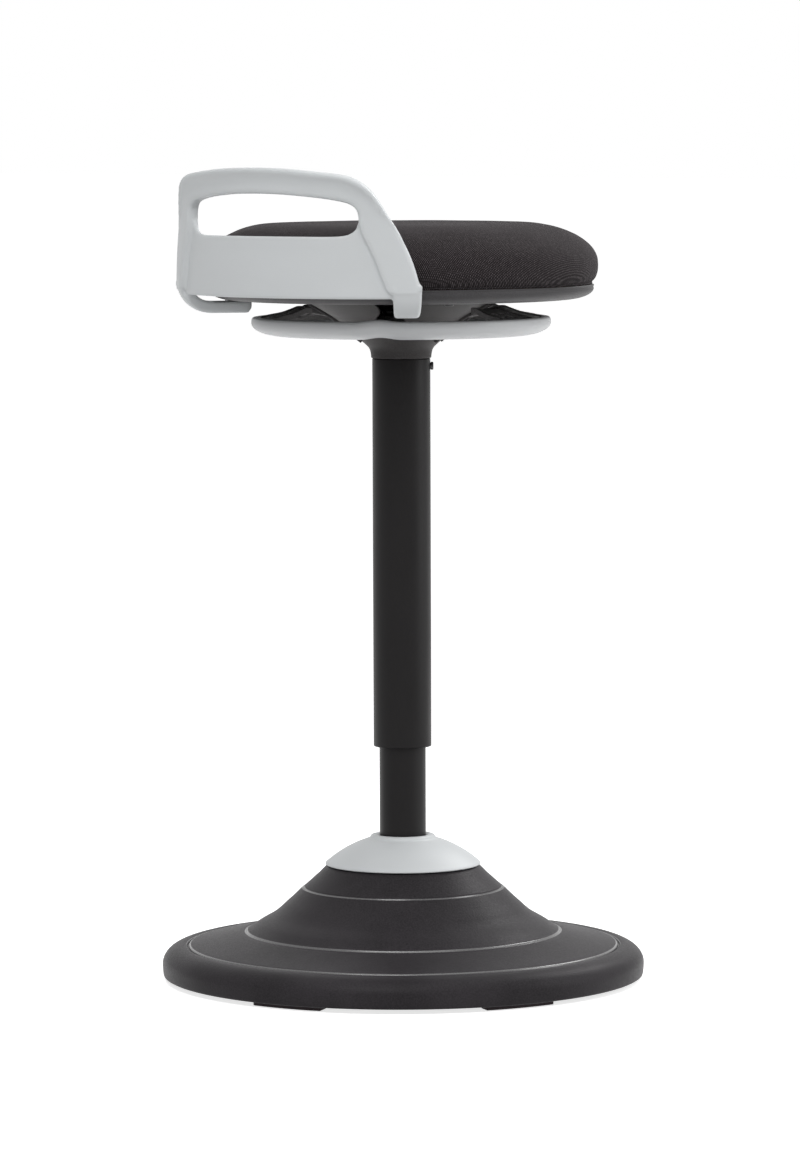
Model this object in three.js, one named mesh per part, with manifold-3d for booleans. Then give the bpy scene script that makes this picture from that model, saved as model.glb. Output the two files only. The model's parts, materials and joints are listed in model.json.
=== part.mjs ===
// Perch stool with a tilting, height-adjustable column, a ring lever and a rear grab handle.
// Units are millimetres, +Z is up, the origin is on the floor under the column.
// The handle stands at the rear, towards +Y, and the sitter faces -Y.

import * as THREE from 'three';
import { mergeVertices } from 'three/addons/utils/BufferGeometryUtils.js';
import Module from 'manifold-3d';

const wasm = await Module();
wasm.setup();

// Clearances and overruns shared by all pieces
const GAP = 0.3;
const CUT_OVERRUN = 2;

// Facet counts and directions in degrees
const WIDE_FACETS = 40;
const TUBE_FACETS = 28;
const SMALL_FACETS = 16;
const SCREW_FACETS = 8;
const REAR_ANGLE = 90;
const PAD_START_ANGLE = 160;
const ARM_ANGLE = 30;
const LEVER_ANGLE = 310;
const SET_SCREW_ANGLE = 220;
const WAVE_ANGLE = 122;

// Foot pads, base plate and ballast
const PAD_THICKNESS = 4;
const PAD_SETBACK = 11.5;
const PAD_BAND = 14;
const PAD_COUNT = 6;
const PAD_ARC = 20;
const PLATE_SETBACK = 10.5;
const PLATE_THICKNESS = 4;
const WEIGHT_BORE_CLEARANCE = 10;
const WEIGHT_SETBACK = 34.5;
const WEIGHT_THICKNESS = 13;

// Base cover outline
const RIM_RADIUS = 208.5;
const RIM_WAIST_HEIGHT = 14.6;
const RIM_TOP_HEIGHT = 31.6;
const RIM_FOOT_INSET = 6;
const RIM_FOOT_RISE = 3.2;
const RIM_FOOT_EDGE = 1;
const RIM_BAND = 20;
const RIM_ROUND_STEP = 22.5;
const LEDGE_HEIGHT = 28.6;
const GROOVE_WIDTH = 3.4;
const GROOVE_DEPTH = 0.9;
const SKIRT_SETBACK = 71.1;
const SKIRT_TOP_HEIGHT = 42;
const SHOULDER_RADIUS = 87.2;
const SHOULDER_HEIGHT = 79.4;
const SHOULDER_STEP = 0.8;
const CONE_SHARES = [[0.2, 0.17], [0.45, 0.34], [0.66, 0.6], [1, 1]];
const COVER_WALL = 3;
const NECK_OPENING_RADIUS = 31.5;
const BOSS_SETBACK = 58.5;
const BOSS_RADIUS = 5.5;
const COVER_SCREW_BITE = 8;
const COVER_SCREW_COUNT = 3;
const COVER_SCREW_HEAD_RADIUS = 4;
const COVER_SCREW_HEAD = 1.9;
const COVER_SCREW_RADIUS = 2;

// Tilting joint, made as a gimbal about one centre
const PIVOT_HEIGHT = 26.2;
const NECK_SPHERE_RADIUS = 98;
const NECK_SKIRT_ANGLE = 47.7;
const PIN_RADIUS = 4;
const PLUG_RADIUS_INSET = 0.3;
const PLUG_DROP = 11;
const GIMBAL_BORE_RADIUS = 24;
const GIMBAL_RADIUS = 34;
const GIMBAL_HEIGHT = 13;
const SOCKET_BORE_RADIUS = 39;
const SOCKET_RADIUS = 46;
const SOCKET_LIP_RADIUS = 56;
const SOCKET_FLANGE_RADIUS = 62;
const SOCKET_FLANGE = 4;
const SOCKET_TOP_HEIGHT = 42;
const SOCKET_LIP = 4;
const SOCKET_BOLT_COUNT = 4;
const SOCKET_BOLT_CIRCLE_RADIUS = 54;
const SOCKET_BOLT_HEAD_RADIUS = 5;
const SOCKET_BOLT_HEAD = 4;
const SOCKET_BOLT_RADIUS = 3;
const BUFFER_BORE_RADIUS = 27;
const BUFFER_RADIUS = 52;
const BUFFER_HEIGHT = 19;
const BUFFER_WAIST = 4;
const SPRING_FLANGE_RADIUS = 54;
const SPRING_FLANGE = 4;
const SPRING_FLANGE_HUB_WALL = 5;
const SPRING_FLANGE_HUB = 16;

// Grey dome round the column
const DOME_GAP = 1;
const DOME_WALL = 1.5;
const DOME_SKIRT_ANGLE = 41.7;
const DOME_COLLAR_RADIUS = 28;
const DOME_COLLAR_TOP_RADIUS = 25.4;
const DOME_COLLAR_RISE = 3;

// Column tubes
const LOWER_TUBE_RADIUS = 20;
const LOWER_TUBE_WALL = 2;
const LOWER_TUBE_START = 10;
const UPPER_TUBE_RADIUS = 25;
const UPPER_TUBE_WALL = 2.3;
const UPPER_TUBE_LENGTH = 335;
const UPPER_TUBE_CHAMFER = 0.9;
const SLIDE_BUSH_LENGTH = 38;
const SLIDE_BUSH_INSET = 1.2;
const GUIDE_BUSH_LENGTH = 80;
const GUIDE_BUSH_FLANGE = 3;
const TRAVEL_DOWN = 70;
const TRAVEL_UP = 130;
const LOW_STOP_MARGIN = 6.5;
const HUB_STOP_MARGIN = 5;

// Gas spring, its anchor and the thrust bearing
const PLUG_LENGTH = 43;
const SPACER_WALL = 3.6;
const SPACER_LENGTH = 126;
const ANCHOR_THICKNESS = 6;
const RACE_BORE_RADIUS = 5;
const RACE_RADIUS = 15;
const RACE_THICKNESS = 2;
const BALL_RADIUS = 2.2;
const BALL_COUNT = 8;
const CAGE_THICKNESS = 2.4;
const CAGE_BAND = 5;
const ROD_RADIUS = 5;
const ROD_TIP_RADIUS = 4.2;
const ROD_TIP_LENGTH = 20;
const ROD_SHOULDER_RADIUS = 7.5;
const ROD_SHOULDER = 1.5;
const CLIP_RADIUS = 7;
const CLIP_THICKNESS = 1.6;
const CYLINDER_RADIUS = 14;
const CYLINDER_WALL = 2;
const CYLINDER_STOP_MARGIN = 2;
const CYLINDER_SETBACK = 1.5;
const GLAND_THICKNESS = 15;
const PISTON_MARGIN = 10;
const PISTON_THICKNESS = 12;
const BUTTON_RADIUS = 2.5;
const BUTTON_LENGTH = 32;

// Seat carrier, the trumpet between column and pan
const SPIGOT_LENGTH = 19;
const CARRIER_LIP_RADIUS = 26;
const CARRIER_LIP_HEIGHT = 2.6;
const CARRIER_LIP_SETBACK = 1.6;
const CARRIER_TOP_RADIUS = 80;
const CARRIER_HEIGHT = 50.4;
const CARRIER_WALL = 3.4;
const CARRIER_FLOOR = 24;
const TRUMPET_SHARES = [
  [0, 0], [0.028, 0.127], [0.128, 0.246], [0.333, 0.447], [0.6, 0.72], [1, 1],
];
const CARRIER_EDGE = 2.2;
const CARRIER_SLOT_WIDTH = 24;
const CARRIER_SLOT_RISE = 31.5;
const CARRIER_SLOT_HEIGHT = 14.5;
const CARRIER_SLOT_ROUND = 6;
const BORE_BOSS_RADIUS = 19;
const BORE_BOSS_RISE = 10;
const YOKE_WIDTH = 6;
const YOKE_WALL = 2.6;
const YOKE_RISE = 7.5;
const WINDOW_SILL = 31;
const WINDOW_CLEARANCE = 2;
const SET_SCREW_DROP = 6.5;
const SET_SCREW_RADIUS = 2.8;
const SET_SCREW_HEAD_RADIUS = 3.5;
const SET_SCREW_HEAD = 2.4;
const SET_SCREW_BITE = 4.5;
const PAN_BOLT_COUNT = 4;
const PAN_BOLT_CIRCLE_RADIUS = 55;
const PAN_BOLT_BOSS_RADIUS = 6;
const PAN_BOLT_HEAD_RADIUS = 5;
const PAN_BOLT_HEAD = 3;
const PAN_BOLT_RADIUS = 2.8;
const PAN_BOLT_DEPTH = 12;

// Ring lever, its spider and the release rocker
const RING_RADIUS = 129.3;
const RING_BAND = 21.3;
const RING_HEIGHT = 15.8;
const RING_WALL = 2.3;
const RING_TOP_DROP = 17;
const RING_OUTER_SHARES = [
  [0.16, 1], [0.06, 0.94], [0, 0.72], [0.04, 0.5], [0.19, 0.31], [0.5, 0.12], [1, 0],
];
const WAVE_RISE = 2;
const WAVE_HALF_ARC = 9;
const SPIDER_RIM_BAND = 7;
const SPIDER_RIM_HEIGHT = 6;
const SPIDER_RIM_PROUD = 0.8;
const FAN_HALF_ARC = 34;
const FAN_ROOT_RADIUS = 83.5;
const FAN_ROOT_DROP = 6.4;
const FAN_TOP_SHARES = [[0, 0], [0.2, 0.2], [0.48, 0.43], [0.72, 0.79], [0.85, 1], [1, 1]];
const FAN_STEP_ANGLE = 8;
const FAN_THICKNESS = 3.6;
const FAN_POCKET_COUNT = 7;
const FAN_POCKET_LENGTH = 8;
const FAN_POCKET_WIDTH = 5.5;
const FAN_POCKET_ROW_OFFSETS = [10.5, 21.5];
const SLEEVE_WALL = 4.7;
const ARM_WIDTH = 20;
const ARM_THICKNESS = 8;
const ROCKER_PIVOT_OFFSET = 8;
const ROCKER_THICKNESS = 4;
const ROCKER_WIDTH = 6;
const ROCKER_PIN_RADIUS = 1.2;
const ROCKER_EYE_RADIUS = 2.6;
const ARM_BEND_RADIUS = 29;
const ARM_CLIMB_RADIUS = 39;

// Seat pan, board and cushion
const PAN_RADIUS = 165.6;
const PAN_DEPTH = 12.6;
const PAN_EDGE_ROUND = 9.5;
const PAN_FLOOR = 4;
const PAN_WALL = 3;
const PAN_LEDGE_BAND = 13;
const PAN_LEDGE_RISE = 3.8;
const BOARD_THICKNESS = 4.8;
const BOARD_SCREW_COUNT = 3;
const BOARD_SCREW_SETBACK = 47.6;
const BOARD_SCREW_HEAD_RADIUS = 4;
const BOARD_SCREW_HEAD = 2;
const BOARD_SCREW_RADIUS = 1.8;
const BOARD_SCREW_BITE = 3;
const CUSHION_OVERHANG = 5.6;
const CUSHION_UNDERCUT = 7.7;
const CUSHION_THICKNESS = 51.4;
const CUSHION_SIDE_SHARES = [
  [0, 0], [0.13, 0.025], [0.5, 0.088], [0.9, 0.235], [1, 0.41],
];
const CUSHION_CROWN_SHARES = [
  [0.991, 0.56], [0.971, 0.665], [0.923, 0.82], [0.878, 0.905], [0.826, 0.955],
  [0.755, 0.99], [0.6, 1],
];

// Grab handle, laid out by angles either side of the rear
const HANDLE_STANDOFF = 23.1;
const HANDLE_WALL = 10.2;
const WEB_RECESS = 5.6;
const WEB_WALL = 4.3;
const HANDLE_RISE = 114.8;
const LEG_END_ANGLE = 45;
const FOOT_START_ANGLE = 38;
const SLOT_END_ANGLE = 29.3;
const HANDLE_STEP_ANGLE = 3.6;
const LEG_LAP_ANGLE = 0.2;
const LIP_DEPTH_SHARE = 0.8;
const HANDLE_TOP_SHARES = [
  [0, 1], [0.2, 0.993], [0.378, 0.974], [0.53, 0.954], [0.607, 0.931], [0.636, 0.913],
  [0.684, 0.878], [0.727, 0.834], [0.756, 0.782], [0.811, 0.669], [0.847, 0.6],
  [0.907, 0.46], [0.967, 0.277], [0.993, 0.155], [1, 0.107],
];
const SLOT_TOP_SHARES = [
  [0, 0.81], [0.24, 0.806], [0.48, 0.793], [0.69, 0.772], [0.86, 0.756], [0.935, 0.733],
  [0.98, 0.695], [1, 0.64],
];
const SLOT_FOOT_SHARES = [
  [0, 0.502], [0.22, 0.502], [0.44, 0.502], [0.66, 0.502], [0.87, 0.502], [0.935, 0.529],
  [0.983, 0.573], [1, 0.6],
];
const CREASE_SHARES = [
  [0.651, 0.57], [0.687, 0.478], [0.738, 0.347], [0.782, 0.188], [0.809, 0.1], [0.818, 0.05],
];
const WEB_FOOT_SHARE = 0.05;
const WEB_END_SHARE = 0.2;
const WEB_END_ANGLE = 36.8;
const LIP_REACH = 7.7;
const LIP_DEPTH = 17;
const LIP_ROUND = 2.6;
const LIP_FULL_ANGLE = 29;
const LIP_FADE_ANGLE = 40;
const TONGUE_LAP = 35.6;
const TONGUE_BEND_RADIUS = 22;
const TONGUE_NOSE_CHAMFER = 5;
const HANDLE_SCREW_SETBACK = 15.6;
const HANDLE_SCREW_HEAD_RADIUS = 4.4;
const HANDLE_SCREW_HEAD = 3;
const HANDLE_SCREW_RADIUS = 2.2;
const HANDLE_SCREW_BITE = 6;

// Heights that stack up from the floor
const plateBottom = PAD_THICKNESS + GAP;
const plateTop = plateBottom + PLATE_THICKNESS;
const weightBottom = plateTop + GAP;
const weightTop = weightBottom + WEIGHT_THICKNESS;
const socketBottom = plateTop + GAP;
const socketFlangeTop = socketBottom + SOCKET_FLANGE;
const bufferBottom = SOCKET_TOP_HEIGHT + GAP;
const bufferTop = bufferBottom + BUFFER_HEIGHT;
const springFlangeBottom = bufferTop + GAP;
const plugBottom = PIVOT_HEIGHT - PLUG_DROP;
const plugTop = plugBottom + PLUG_LENGTH;
const lowerTubeBottom = PIVOT_HEIGHT + LOWER_TUBE_START;
const spacerBottom = plugTop + GAP;
const anchorBottom = spacerBottom + SPACER_LENGTH + GAP;
const anchorTop = anchorBottom + ANCHOR_THICKNESS;
const lowerRaceBottom = anchorTop + GAP;
const cageBottom = lowerRaceBottom + RACE_THICKNESS + GAP;
const upperRaceBottom = cageBottom + BALL_RADIUS + BALL_RADIUS + GAP;
const shoulderBottom = upperRaceBottom + RACE_THICKNESS + GAP;
const shoulderTop = shoulderBottom + ROD_SHOULDER;
const rodTipBottom = shoulderBottom - ROD_TIP_LENGTH;
const cylinderBottom = shoulderTop + CYLINDER_STOP_MARGIN + TRAVEL_DOWN;
const cavityBottom = cylinderBottom + GLAND_THICKNESS;
const pistonBottom = cavityBottom + TRAVEL_UP + PISTON_MARGIN;
const pistonTop = pistonBottom + PISTON_THICKNESS;
const cavityTop = pistonTop + TRAVEL_DOWN + PISTON_MARGIN;
const domeRadius = NECK_SPHERE_RADIUS + DOME_GAP + DOME_WALL;
const domeTopAngle = Math.asin(DOME_COLLAR_RADIUS / domeRadius);
const domeTop = PIVOT_HEIGHT + domeRadius * Math.cos(domeTopAngle) + DOME_COLLAR_RISE;
const upperTubeBottom = domeTop + TRAVEL_DOWN + LOW_STOP_MARGIN;
const upperTubeTop = upperTubeBottom + UPPER_TUBE_LENGTH;
const carrierBottom = upperTubeTop + GAP;
const carrierTop = carrierBottom + CARRIER_HEIGHT;
const carrierFloorTop = carrierBottom + CARRIER_FLOOR;
const boreBossTop = carrierFloorTop + BORE_BOSS_RISE;
const rockerBottom = boreBossTop + ROCKER_EYE_RADIUS;
const rockerPivotHeight = rockerBottom + ROCKER_THICKNESS / 2;
const sleeveTop = rockerBottom - GAP;
const spigotBottom = carrierBottom - SPIGOT_LENGTH;
const lowerTubeTop = spigotBottom - TRAVEL_DOWN - HUB_STOP_MARGIN - GUIDE_BUSH_FLANGE;
const cylinderTop = boreBossTop - CYLINDER_SETBACK;
const buttonTop = rockerBottom - GAP;
const panBottom = carrierTop + GAP;
const panTop = panBottom + PAN_DEPTH;
const panFloorTop = panBottom + PAN_FLOOR;
const boardBottom = panFloorTop + PAN_LEDGE_RISE + GAP;
const boardTop = boardBottom + BOARD_THICKNESS;
const cushionBottom = boardTop + GAP;
const tongueTop = panBottom - GAP;
const tongueBottom = tongueTop - HANDLE_WALL;
const ringTop = panBottom - RING_TOP_DROP;
const ringBottom = ringTop - RING_HEIGHT;

// Radii that follow from the named ones
const padRadius = RIM_RADIUS - PAD_SETBACK;
const plateRadius = RIM_RADIUS - PLATE_SETBACK;
const weightBore = SOCKET_FLANGE_RADIUS + WEIGHT_BORE_CLEARANCE;
const weightRadius = RIM_RADIUS - WEIGHT_SETBACK;
const ledgeRadius = RIM_RADIUS - RIM_BAND;
const skirtTopRadius = RIM_RADIUS - SKIRT_SETBACK;
const bossCircleRadius = RIM_RADIUS - BOSS_SETBACK;
const lowerTubeBore = LOWER_TUBE_RADIUS - LOWER_TUBE_WALL;
const plugRadius = lowerTubeBore - PLUG_RADIUS_INSET;
const upperTubeBore = UPPER_TUBE_RADIUS - UPPER_TUBE_WALL;
const slideBushRadius = upperTubeBore - GAP;
const spigotRadius = upperTubeBore - GAP;
const cylinderBore = CYLINDER_RADIUS - CYLINDER_WALL;
const carrierBore = CYLINDER_RADIUS + GAP;
const sleeveBore = BORE_BOSS_RADIUS + GAP;
const sleeveRadius = sleeveBore + SLEEVE_WALL;
const ringBore = RING_RADIUS - RING_WALL - RING_WALL - GAP;
const spiderRimRadius = ringBore - GAP;
const boardRadius = PAN_RADIUS - PAN_WALL - GAP;
const cushionRadius = PAN_RADIUS + CUSHION_OVERHANG;
const handleRadius = cushionRadius + HANDLE_STANDOFF;

// Finishes
const DARK_PLASTIC = { color: 0x3a383a, roughness: 0.62, metalness: 0 };
const BLACK_PLASTIC = { color: 0x1c1b1d, roughness: 0.55, metalness: 0 };
const GREY_PLASTIC = { color: 0xc3c6c8, roughness: 0.45, metalness: 0 };
const BLACK_STEEL = { color: 0x2b292b, roughness: 0.5, metalness: 0.2 };
const BARE_STEEL = { color: 0x9a9ca0, roughness: 0.35, metalness: 1 };
const CAST_IRON = { color: 0x4c4a48, roughness: 0.8, metalness: 0.7 };
const BEARING_BUSH = { color: 0xd9d6cc, roughness: 0.5, metalness: 0 };
const RUBBER = { color: 0x2d2729, roughness: 0.85, metalness: 0 };
const BOARD = { color: 0xb08a5a, roughness: 0.8, metalness: 0 };
const KNIT_FABRIC = { color: 0x2c292b, roughness: 0.95, metalness: 0 };

const radians = THREE.MathUtils.degToRad;

/** A closed, merged mesh that keeps position only and whose faces point out. */
function closed(geometry) {
  const bare = new THREE.BufferGeometry();
  bare.setAttribute('position', geometry.getAttribute('position').clone());
  bare.setIndex(geometry.getIndex() ? geometry.getIndex().clone() : null);
  const merged = mergeVertices(bare, 1e-4);
  const position = merged.getAttribute('position');
  const kept = [];
  const corners = [new THREE.Vector3(), new THREE.Vector3(), new THREE.Vector3()];
  const index = merged.getIndex().array;
  let volume = 0;
  for (let i = 0; i < index.length; i += 3) {
    const triangle = [index[i], index[i + 1], index[i + 2]];
    if (new Set(triangle).size < 3) continue;
    triangle.forEach((vertex, k) => corners[k].fromBufferAttribute(position, vertex));
    volume += corners[0].dot(corners[1].clone().cross(corners[2]));
    kept.push(triangle);
  }
  if (volume < 0) kept.forEach((triangle) => triangle.reverse());
  merged.setIndex(kept.flat());
  return merged;
}

/** Turns a profile of [radius, height] points about +Z. */
function revolve(profile, facets) {
  const points = profile.map(([radius, height]) => new THREE.Vector2(radius, height));
  const onAxis = profile[0][0] === 0 && profile[profile.length - 1][0] === 0;
  if (!onAxis) points.push(points[0].clone());
  return closed(new THREE.LatheGeometry(points, facets).rotateX(Math.PI / 2));
}

function ring(innerRadius, outerRadius, bottom, top, facets) {
  return revolve(
    [[innerRadius, bottom], [outerRadius, bottom], [outerRadius, top], [innerRadius, top]],
    facets,
  );
}

function disc(radius, bottom, top, facets) {
  return revolve([[0, bottom], [radius, bottom], [radius, top], [0, top]], facets);
}

/** A round bar between two points. */
function bar(radius, start, end, facets) {
  const from = new THREE.Vector3(...start);
  const along = new THREE.Vector3(...end).sub(from);
  const geometry = new THREE.CylinderGeometry(radius, radius, along.length(), facets);
  const up = new THREE.Vector3(0, 1, 0);
  geometry.applyQuaternion(new THREE.Quaternion().setFromUnitVectors(up, along.clone().normalize()));
  const middle = from.addScaledVector(along, 1 / 2);
  return closed(geometry.translate(middle.x, middle.y, middle.z));
}

/** A block given by its lowest and highest corners, then turned about +Z. */
function block(low, high, angle = 0) {
  const size = high.map((value, axis) => value - low[axis]);
  const middle = high.map((value, axis) => (value + low[axis]) / 2);
  const geometry = new THREE.BoxGeometry(...size).translate(...middle);
  return closed(geometry.rotateZ(radians(angle)));
}

/** Puts a point at a radius, an angle about +Z in degrees, and a height. */
function polar(radius, angle, height) {
  return [radius * Math.cos(radians(angle)), radius * Math.sin(radians(angle)), height];
}

function solidOf(geometry) {
  return new wasm.Manifold(new wasm.Mesh({
    numProp: 3,
    vertProperties: new Float32Array(geometry.getAttribute('position').array),
    triVerts: new Uint32Array(geometry.getIndex().array),
  }));
}

function geometryOf(solid) {
  const mesh = solid.getMesh();
  const geometry = new THREE.BufferGeometry();
  geometry.setAttribute('position', new THREE.BufferAttribute(mesh.vertProperties, 3));
  geometry.setIndex(new THREE.BufferAttribute(mesh.triVerts, 1));
  return closed(geometry);
}

function join(first, ...others) {
  return geometryOf(others.reduce((sum, other) => sum.add(solidOf(other)), solidOf(first)));
}

function cut(body, ...tools) {
  return geometryOf(tools.reduce((rest, tool) => rest.subtract(solidOf(tool)), solidOf(body)));
}

function keep(body, tool) {
  return geometryOf(solidOf(body).intersect(solidOf(tool)));
}

/** Points of a circular arc in the profile plane, angles in degrees from the outward radius. */
function arc(centreRadius, centreHeight, radius, startAngle, endAngle, steps) {
  return Array.from({ length: steps + 1 }, (unused, i) => {
    const angle = radians(startAngle + ((endAngle - startAngle) * i) / steps);
    return [centreRadius + radius * Math.cos(angle), centreHeight + radius * Math.sin(angle)];
  });
}

/** Reads a table of [share, value] rows at a share, in straight runs. */
function readTable(table, share) {
  const last = table.length - 1;
  if (share <= table[0][0]) return table[0][1];
  if (share >= table[last][0]) return table[last][1];
  const next = table.findIndex(([edge]) => edge >= share);
  const [fromShare, fromValue] = table[next - 1];
  const [toShare, toValue] = table[next];
  return fromValue + ((toValue - fromValue) * (share - fromShare)) / (toShare - fromShare);
}

/** Joins flat sections, one for each angle about +Z, into a closed body. */
function loft(stations) {
  const count = stations[0].section.length;
  const positions = stations.flatMap(({ angle, section }) =>
    section.flatMap(([radius, height]) => polar(radius, angle, height)));
  const triangles = [];
  for (let s = 0; s + 1 < stations.length; s += 1) {
    for (let i = 0; i < count; i += 1) {
      const a = s * count + i;
      const b = s * count + ((i + 1) % count);
      triangles.push(a, b, a + count, b, b + count, a + count);
    }
  }
  const lastStart = (stations.length - 1) * count;
  [[stations[0], 0, true], [stations.at(-1), lastStart, false]].forEach(([station, offset, reversed]) => {
    const contour = station.section.map(([radius, height]) => new THREE.Vector2(radius, height));
    const turned = THREE.ShapeUtils.isClockWise(contour) !== reversed;
    THREE.ShapeUtils.triangulateShape(contour, []).forEach((triangle) => {
      triangles.push(...(turned ? [...triangle].reverse() : triangle).map((vertex) => vertex + offset));
    });
  });
  const geometry = new THREE.BufferGeometry();
  geometry.setAttribute('position', new THREE.Float32BufferAttribute(positions, 3));
  geometry.setIndex(triangles);
  return closed(geometry);
}

function angleSteps(from, to, step) {
  const count = Math.max(1, Math.ceil((to - from) / step));
  return Array.from({ length: count + 1 }, (unused, i) => from + ((to - from) * i) / count);
}

function around(count, firstAngle = 0) {
  return Array.from({ length: count }, (unused, i) => firstAngle + (360 * i) / count);
}

function addPart(group, name, geometry, finish) {
  const mesh = new THREE.Mesh(geometry, new THREE.MeshStandardMaterial(finish));
  mesh.name = name;
  group.add(mesh);
}

/** A cheese-head screw along +Z whose head is at its lower end. */
function screwUp(headRadius, headBottom, headTop, radius, tip) {
  return revolve(
    [[0, headBottom], [headRadius, headBottom], [headRadius, headTop], [radius, headTop],
      [radius, tip], [0, tip]],
    SCREW_FACETS,
  );
}

function screwDown(headRadius, headTop, headBottom, radius, tip) {
  return revolve(
    [[0, tip], [radius, tip], [radius, headBottom], [headRadius, headBottom],
      [headRadius, headTop], [0, headTop]],
    SCREW_FACETS,
  );
}

/** Moves a profile sideways by a wall, towards the axis or down. */
function inset(outline, wall) {
  return outline.map((point, i) => {
    const before = outline[Math.max(i - 1, 0)];
    const after = outline[Math.min(i + 1, outline.length - 1)];
    const run = after[0] - before[0];
    const rise = after[1] - before[1];
    const length = Math.hypot(run, rise);
    return [point[0] - (wall * rise) / length, point[1] + (wall * run) / length];
  });
}

// Base: pads, plate, ballast and cover

function rimOutline() {
  const height = RIM_TOP_HEIGHT - RIM_WAIST_HEIGHT;
  const round = angleSteps(0, 90, RIM_ROUND_STEP).map((angle) => [
    ledgeRadius + RIM_BAND * Math.cos(radians(angle)),
    RIM_WAIST_HEIGHT + height * Math.sin(radians(angle)),
  ]);
  return [
    [RIM_RADIUS - RIM_FOOT_INSET, PAD_THICKNESS],
    [RIM_RADIUS - RIM_FOOT_EDGE, PAD_THICKNESS + RIM_FOOT_RISE],
    ...round,
  ];
}

function skirtOutline() {
  const start = ledgeRadius - GROOVE_WIDTH;
  return [
    [ledgeRadius - GROOVE_DEPTH, LEDGE_HEIGHT - GROOVE_DEPTH],
    [start, LEDGE_HEIGHT - GROOVE_DEPTH],
    [start - GROOVE_DEPTH, LEDGE_HEIGHT + GROOVE_DEPTH],
    [skirtTopRadius, SKIRT_TOP_HEIGHT],
    [skirtTopRadius - GROOVE_DEPTH, SKIRT_TOP_HEIGHT - GROOVE_DEPTH / 2],
  ];
}

function coneOutline() {
  const footRadius = skirtTopRadius - GROOVE_WIDTH;
  const footHeight = SKIRT_TOP_HEIGHT + GROOVE_DEPTH;
  const cone = CONE_SHARES.map(([run, rise]) => [
    footRadius + (SHOULDER_RADIUS - footRadius) * run,
    footHeight + (SHOULDER_HEIGHT - footHeight) * rise,
  ]);
  return [
    [footRadius, footHeight],
    ...cone,
    [SHOULDER_RADIUS - SHOULDER_STEP / 2, SHOULDER_HEIGHT + SHOULDER_STEP],
  ];
}

function neckOutline(radius) {
  const top = 90 - THREE.MathUtils.radToDeg(Math.asin(NECK_OPENING_RADIUS / radius));
  return arc(0, PIVOT_HEIGHT, radius, 90 - NECK_SKIRT_ANGLE, top, 4);
}

function coverOutline() {
  return [...rimOutline(), ...skirtOutline(), ...coneOutline(), ...neckOutline(NECK_SPHERE_RADIUS)];
}

function baseCover() {
  const outline = coverOutline();
  const wallSide = [
    ...inset(rimOutline(), COVER_WALL).filter((point, i) => i % 2 === 0).slice(0, -1),
    [ledgeRadius, LEDGE_HEIGHT - GROOVE_DEPTH - COVER_WALL],
    [skirtTopRadius, SKIRT_TOP_HEIGHT - COVER_WALL],
    ...inset(coneOutline(), COVER_WALL).slice(1, -1),
    ...neckOutline(NECK_SPHERE_RADIUS - COVER_WALL),
  ];
  wallSide[0][1] = PAD_THICKNESS;
  const shell = revolve([...outline, ...wallSide.reverse()], WIDE_FACETS);
  const filled = revolve(
    [[0, PAD_THICKNESS], ...outline, [0, outline.at(-1)[1]]],
    WIDE_FACETS,
  );
  const bosses = coverScrewSpots().map(([x, y]) =>
    keep(disc(BOSS_RADIUS, weightTop + GAP, SHOULDER_HEIGHT, SCREW_FACETS).translate(x, y, 0), filled));
  const boreTop = weightTop + GAP + COVER_SCREW_BITE + GAP;
  return cut(join(shell, ...bosses), ...boresAt(coverScrewSpots(), COVER_SCREW_RADIUS, weightTop, boreTop));
}

function coverScrewSpots() {
  return around(COVER_SCREW_COUNT, REAR_ANGLE).map((angle) => polar(bossCircleRadius, angle, 0));
}

function socketBoltSpots() {
  return around(SOCKET_BOLT_COUNT, 360 / SOCKET_BOLT_COUNT / 2)
    .map((angle) => polar(SOCKET_BOLT_CIRCLE_RADIUS, angle, 0));
}

/** Clearance bores for round shanks standing along +Z. */
function boresAt(spots, shankRadius, bottom, top) {
  return spots.map(([x, y]) =>
    disc(shankRadius + GAP, bottom, top, SCREW_FACETS).translate(x, y, 0));
}

function footPad(angle) {
  const section = [
    [padRadius - PAD_BAND, 0], [padRadius, 0],
    [padRadius, PAD_THICKNESS], [padRadius - PAD_BAND, PAD_THICKNESS],
  ];
  return loft(angleSteps(angle - PAD_ARC / 2, angle + PAD_ARC / 2, PAD_ARC / 4)
    .map((station) => ({ angle: station, section })));
}

function basePlate() {
  return cut(
    disc(plateRadius, plateBottom, plateTop, WIDE_FACETS),
    ...boresAt(coverScrewSpots(), COVER_SCREW_RADIUS, plateBottom - CUT_OVERRUN, plateTop + CUT_OVERRUN),
    ...boresAt(socketBoltSpots(), SOCKET_BOLT_RADIUS, plateBottom - CUT_OVERRUN, plateTop + CUT_OVERRUN),
  );
}

function baseWeight() {
  return cut(
    ring(weightBore, weightRadius, weightBottom, weightTop, WIDE_FACETS),
    ...boresAt(coverScrewSpots(), COVER_SCREW_RADIUS, weightBottom - CUT_OVERRUN, weightTop + CUT_OVERRUN),
  );
}

function coverScrew([x, y]) {
  const headTop = plateBottom - GAP;
  const tip = weightTop + GAP + COVER_SCREW_BITE;
  return screwUp(COVER_SCREW_HEAD_RADIUS, headTop - COVER_SCREW_HEAD, headTop, COVER_SCREW_RADIUS, tip)
    .translate(x, y, 0);
}

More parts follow.
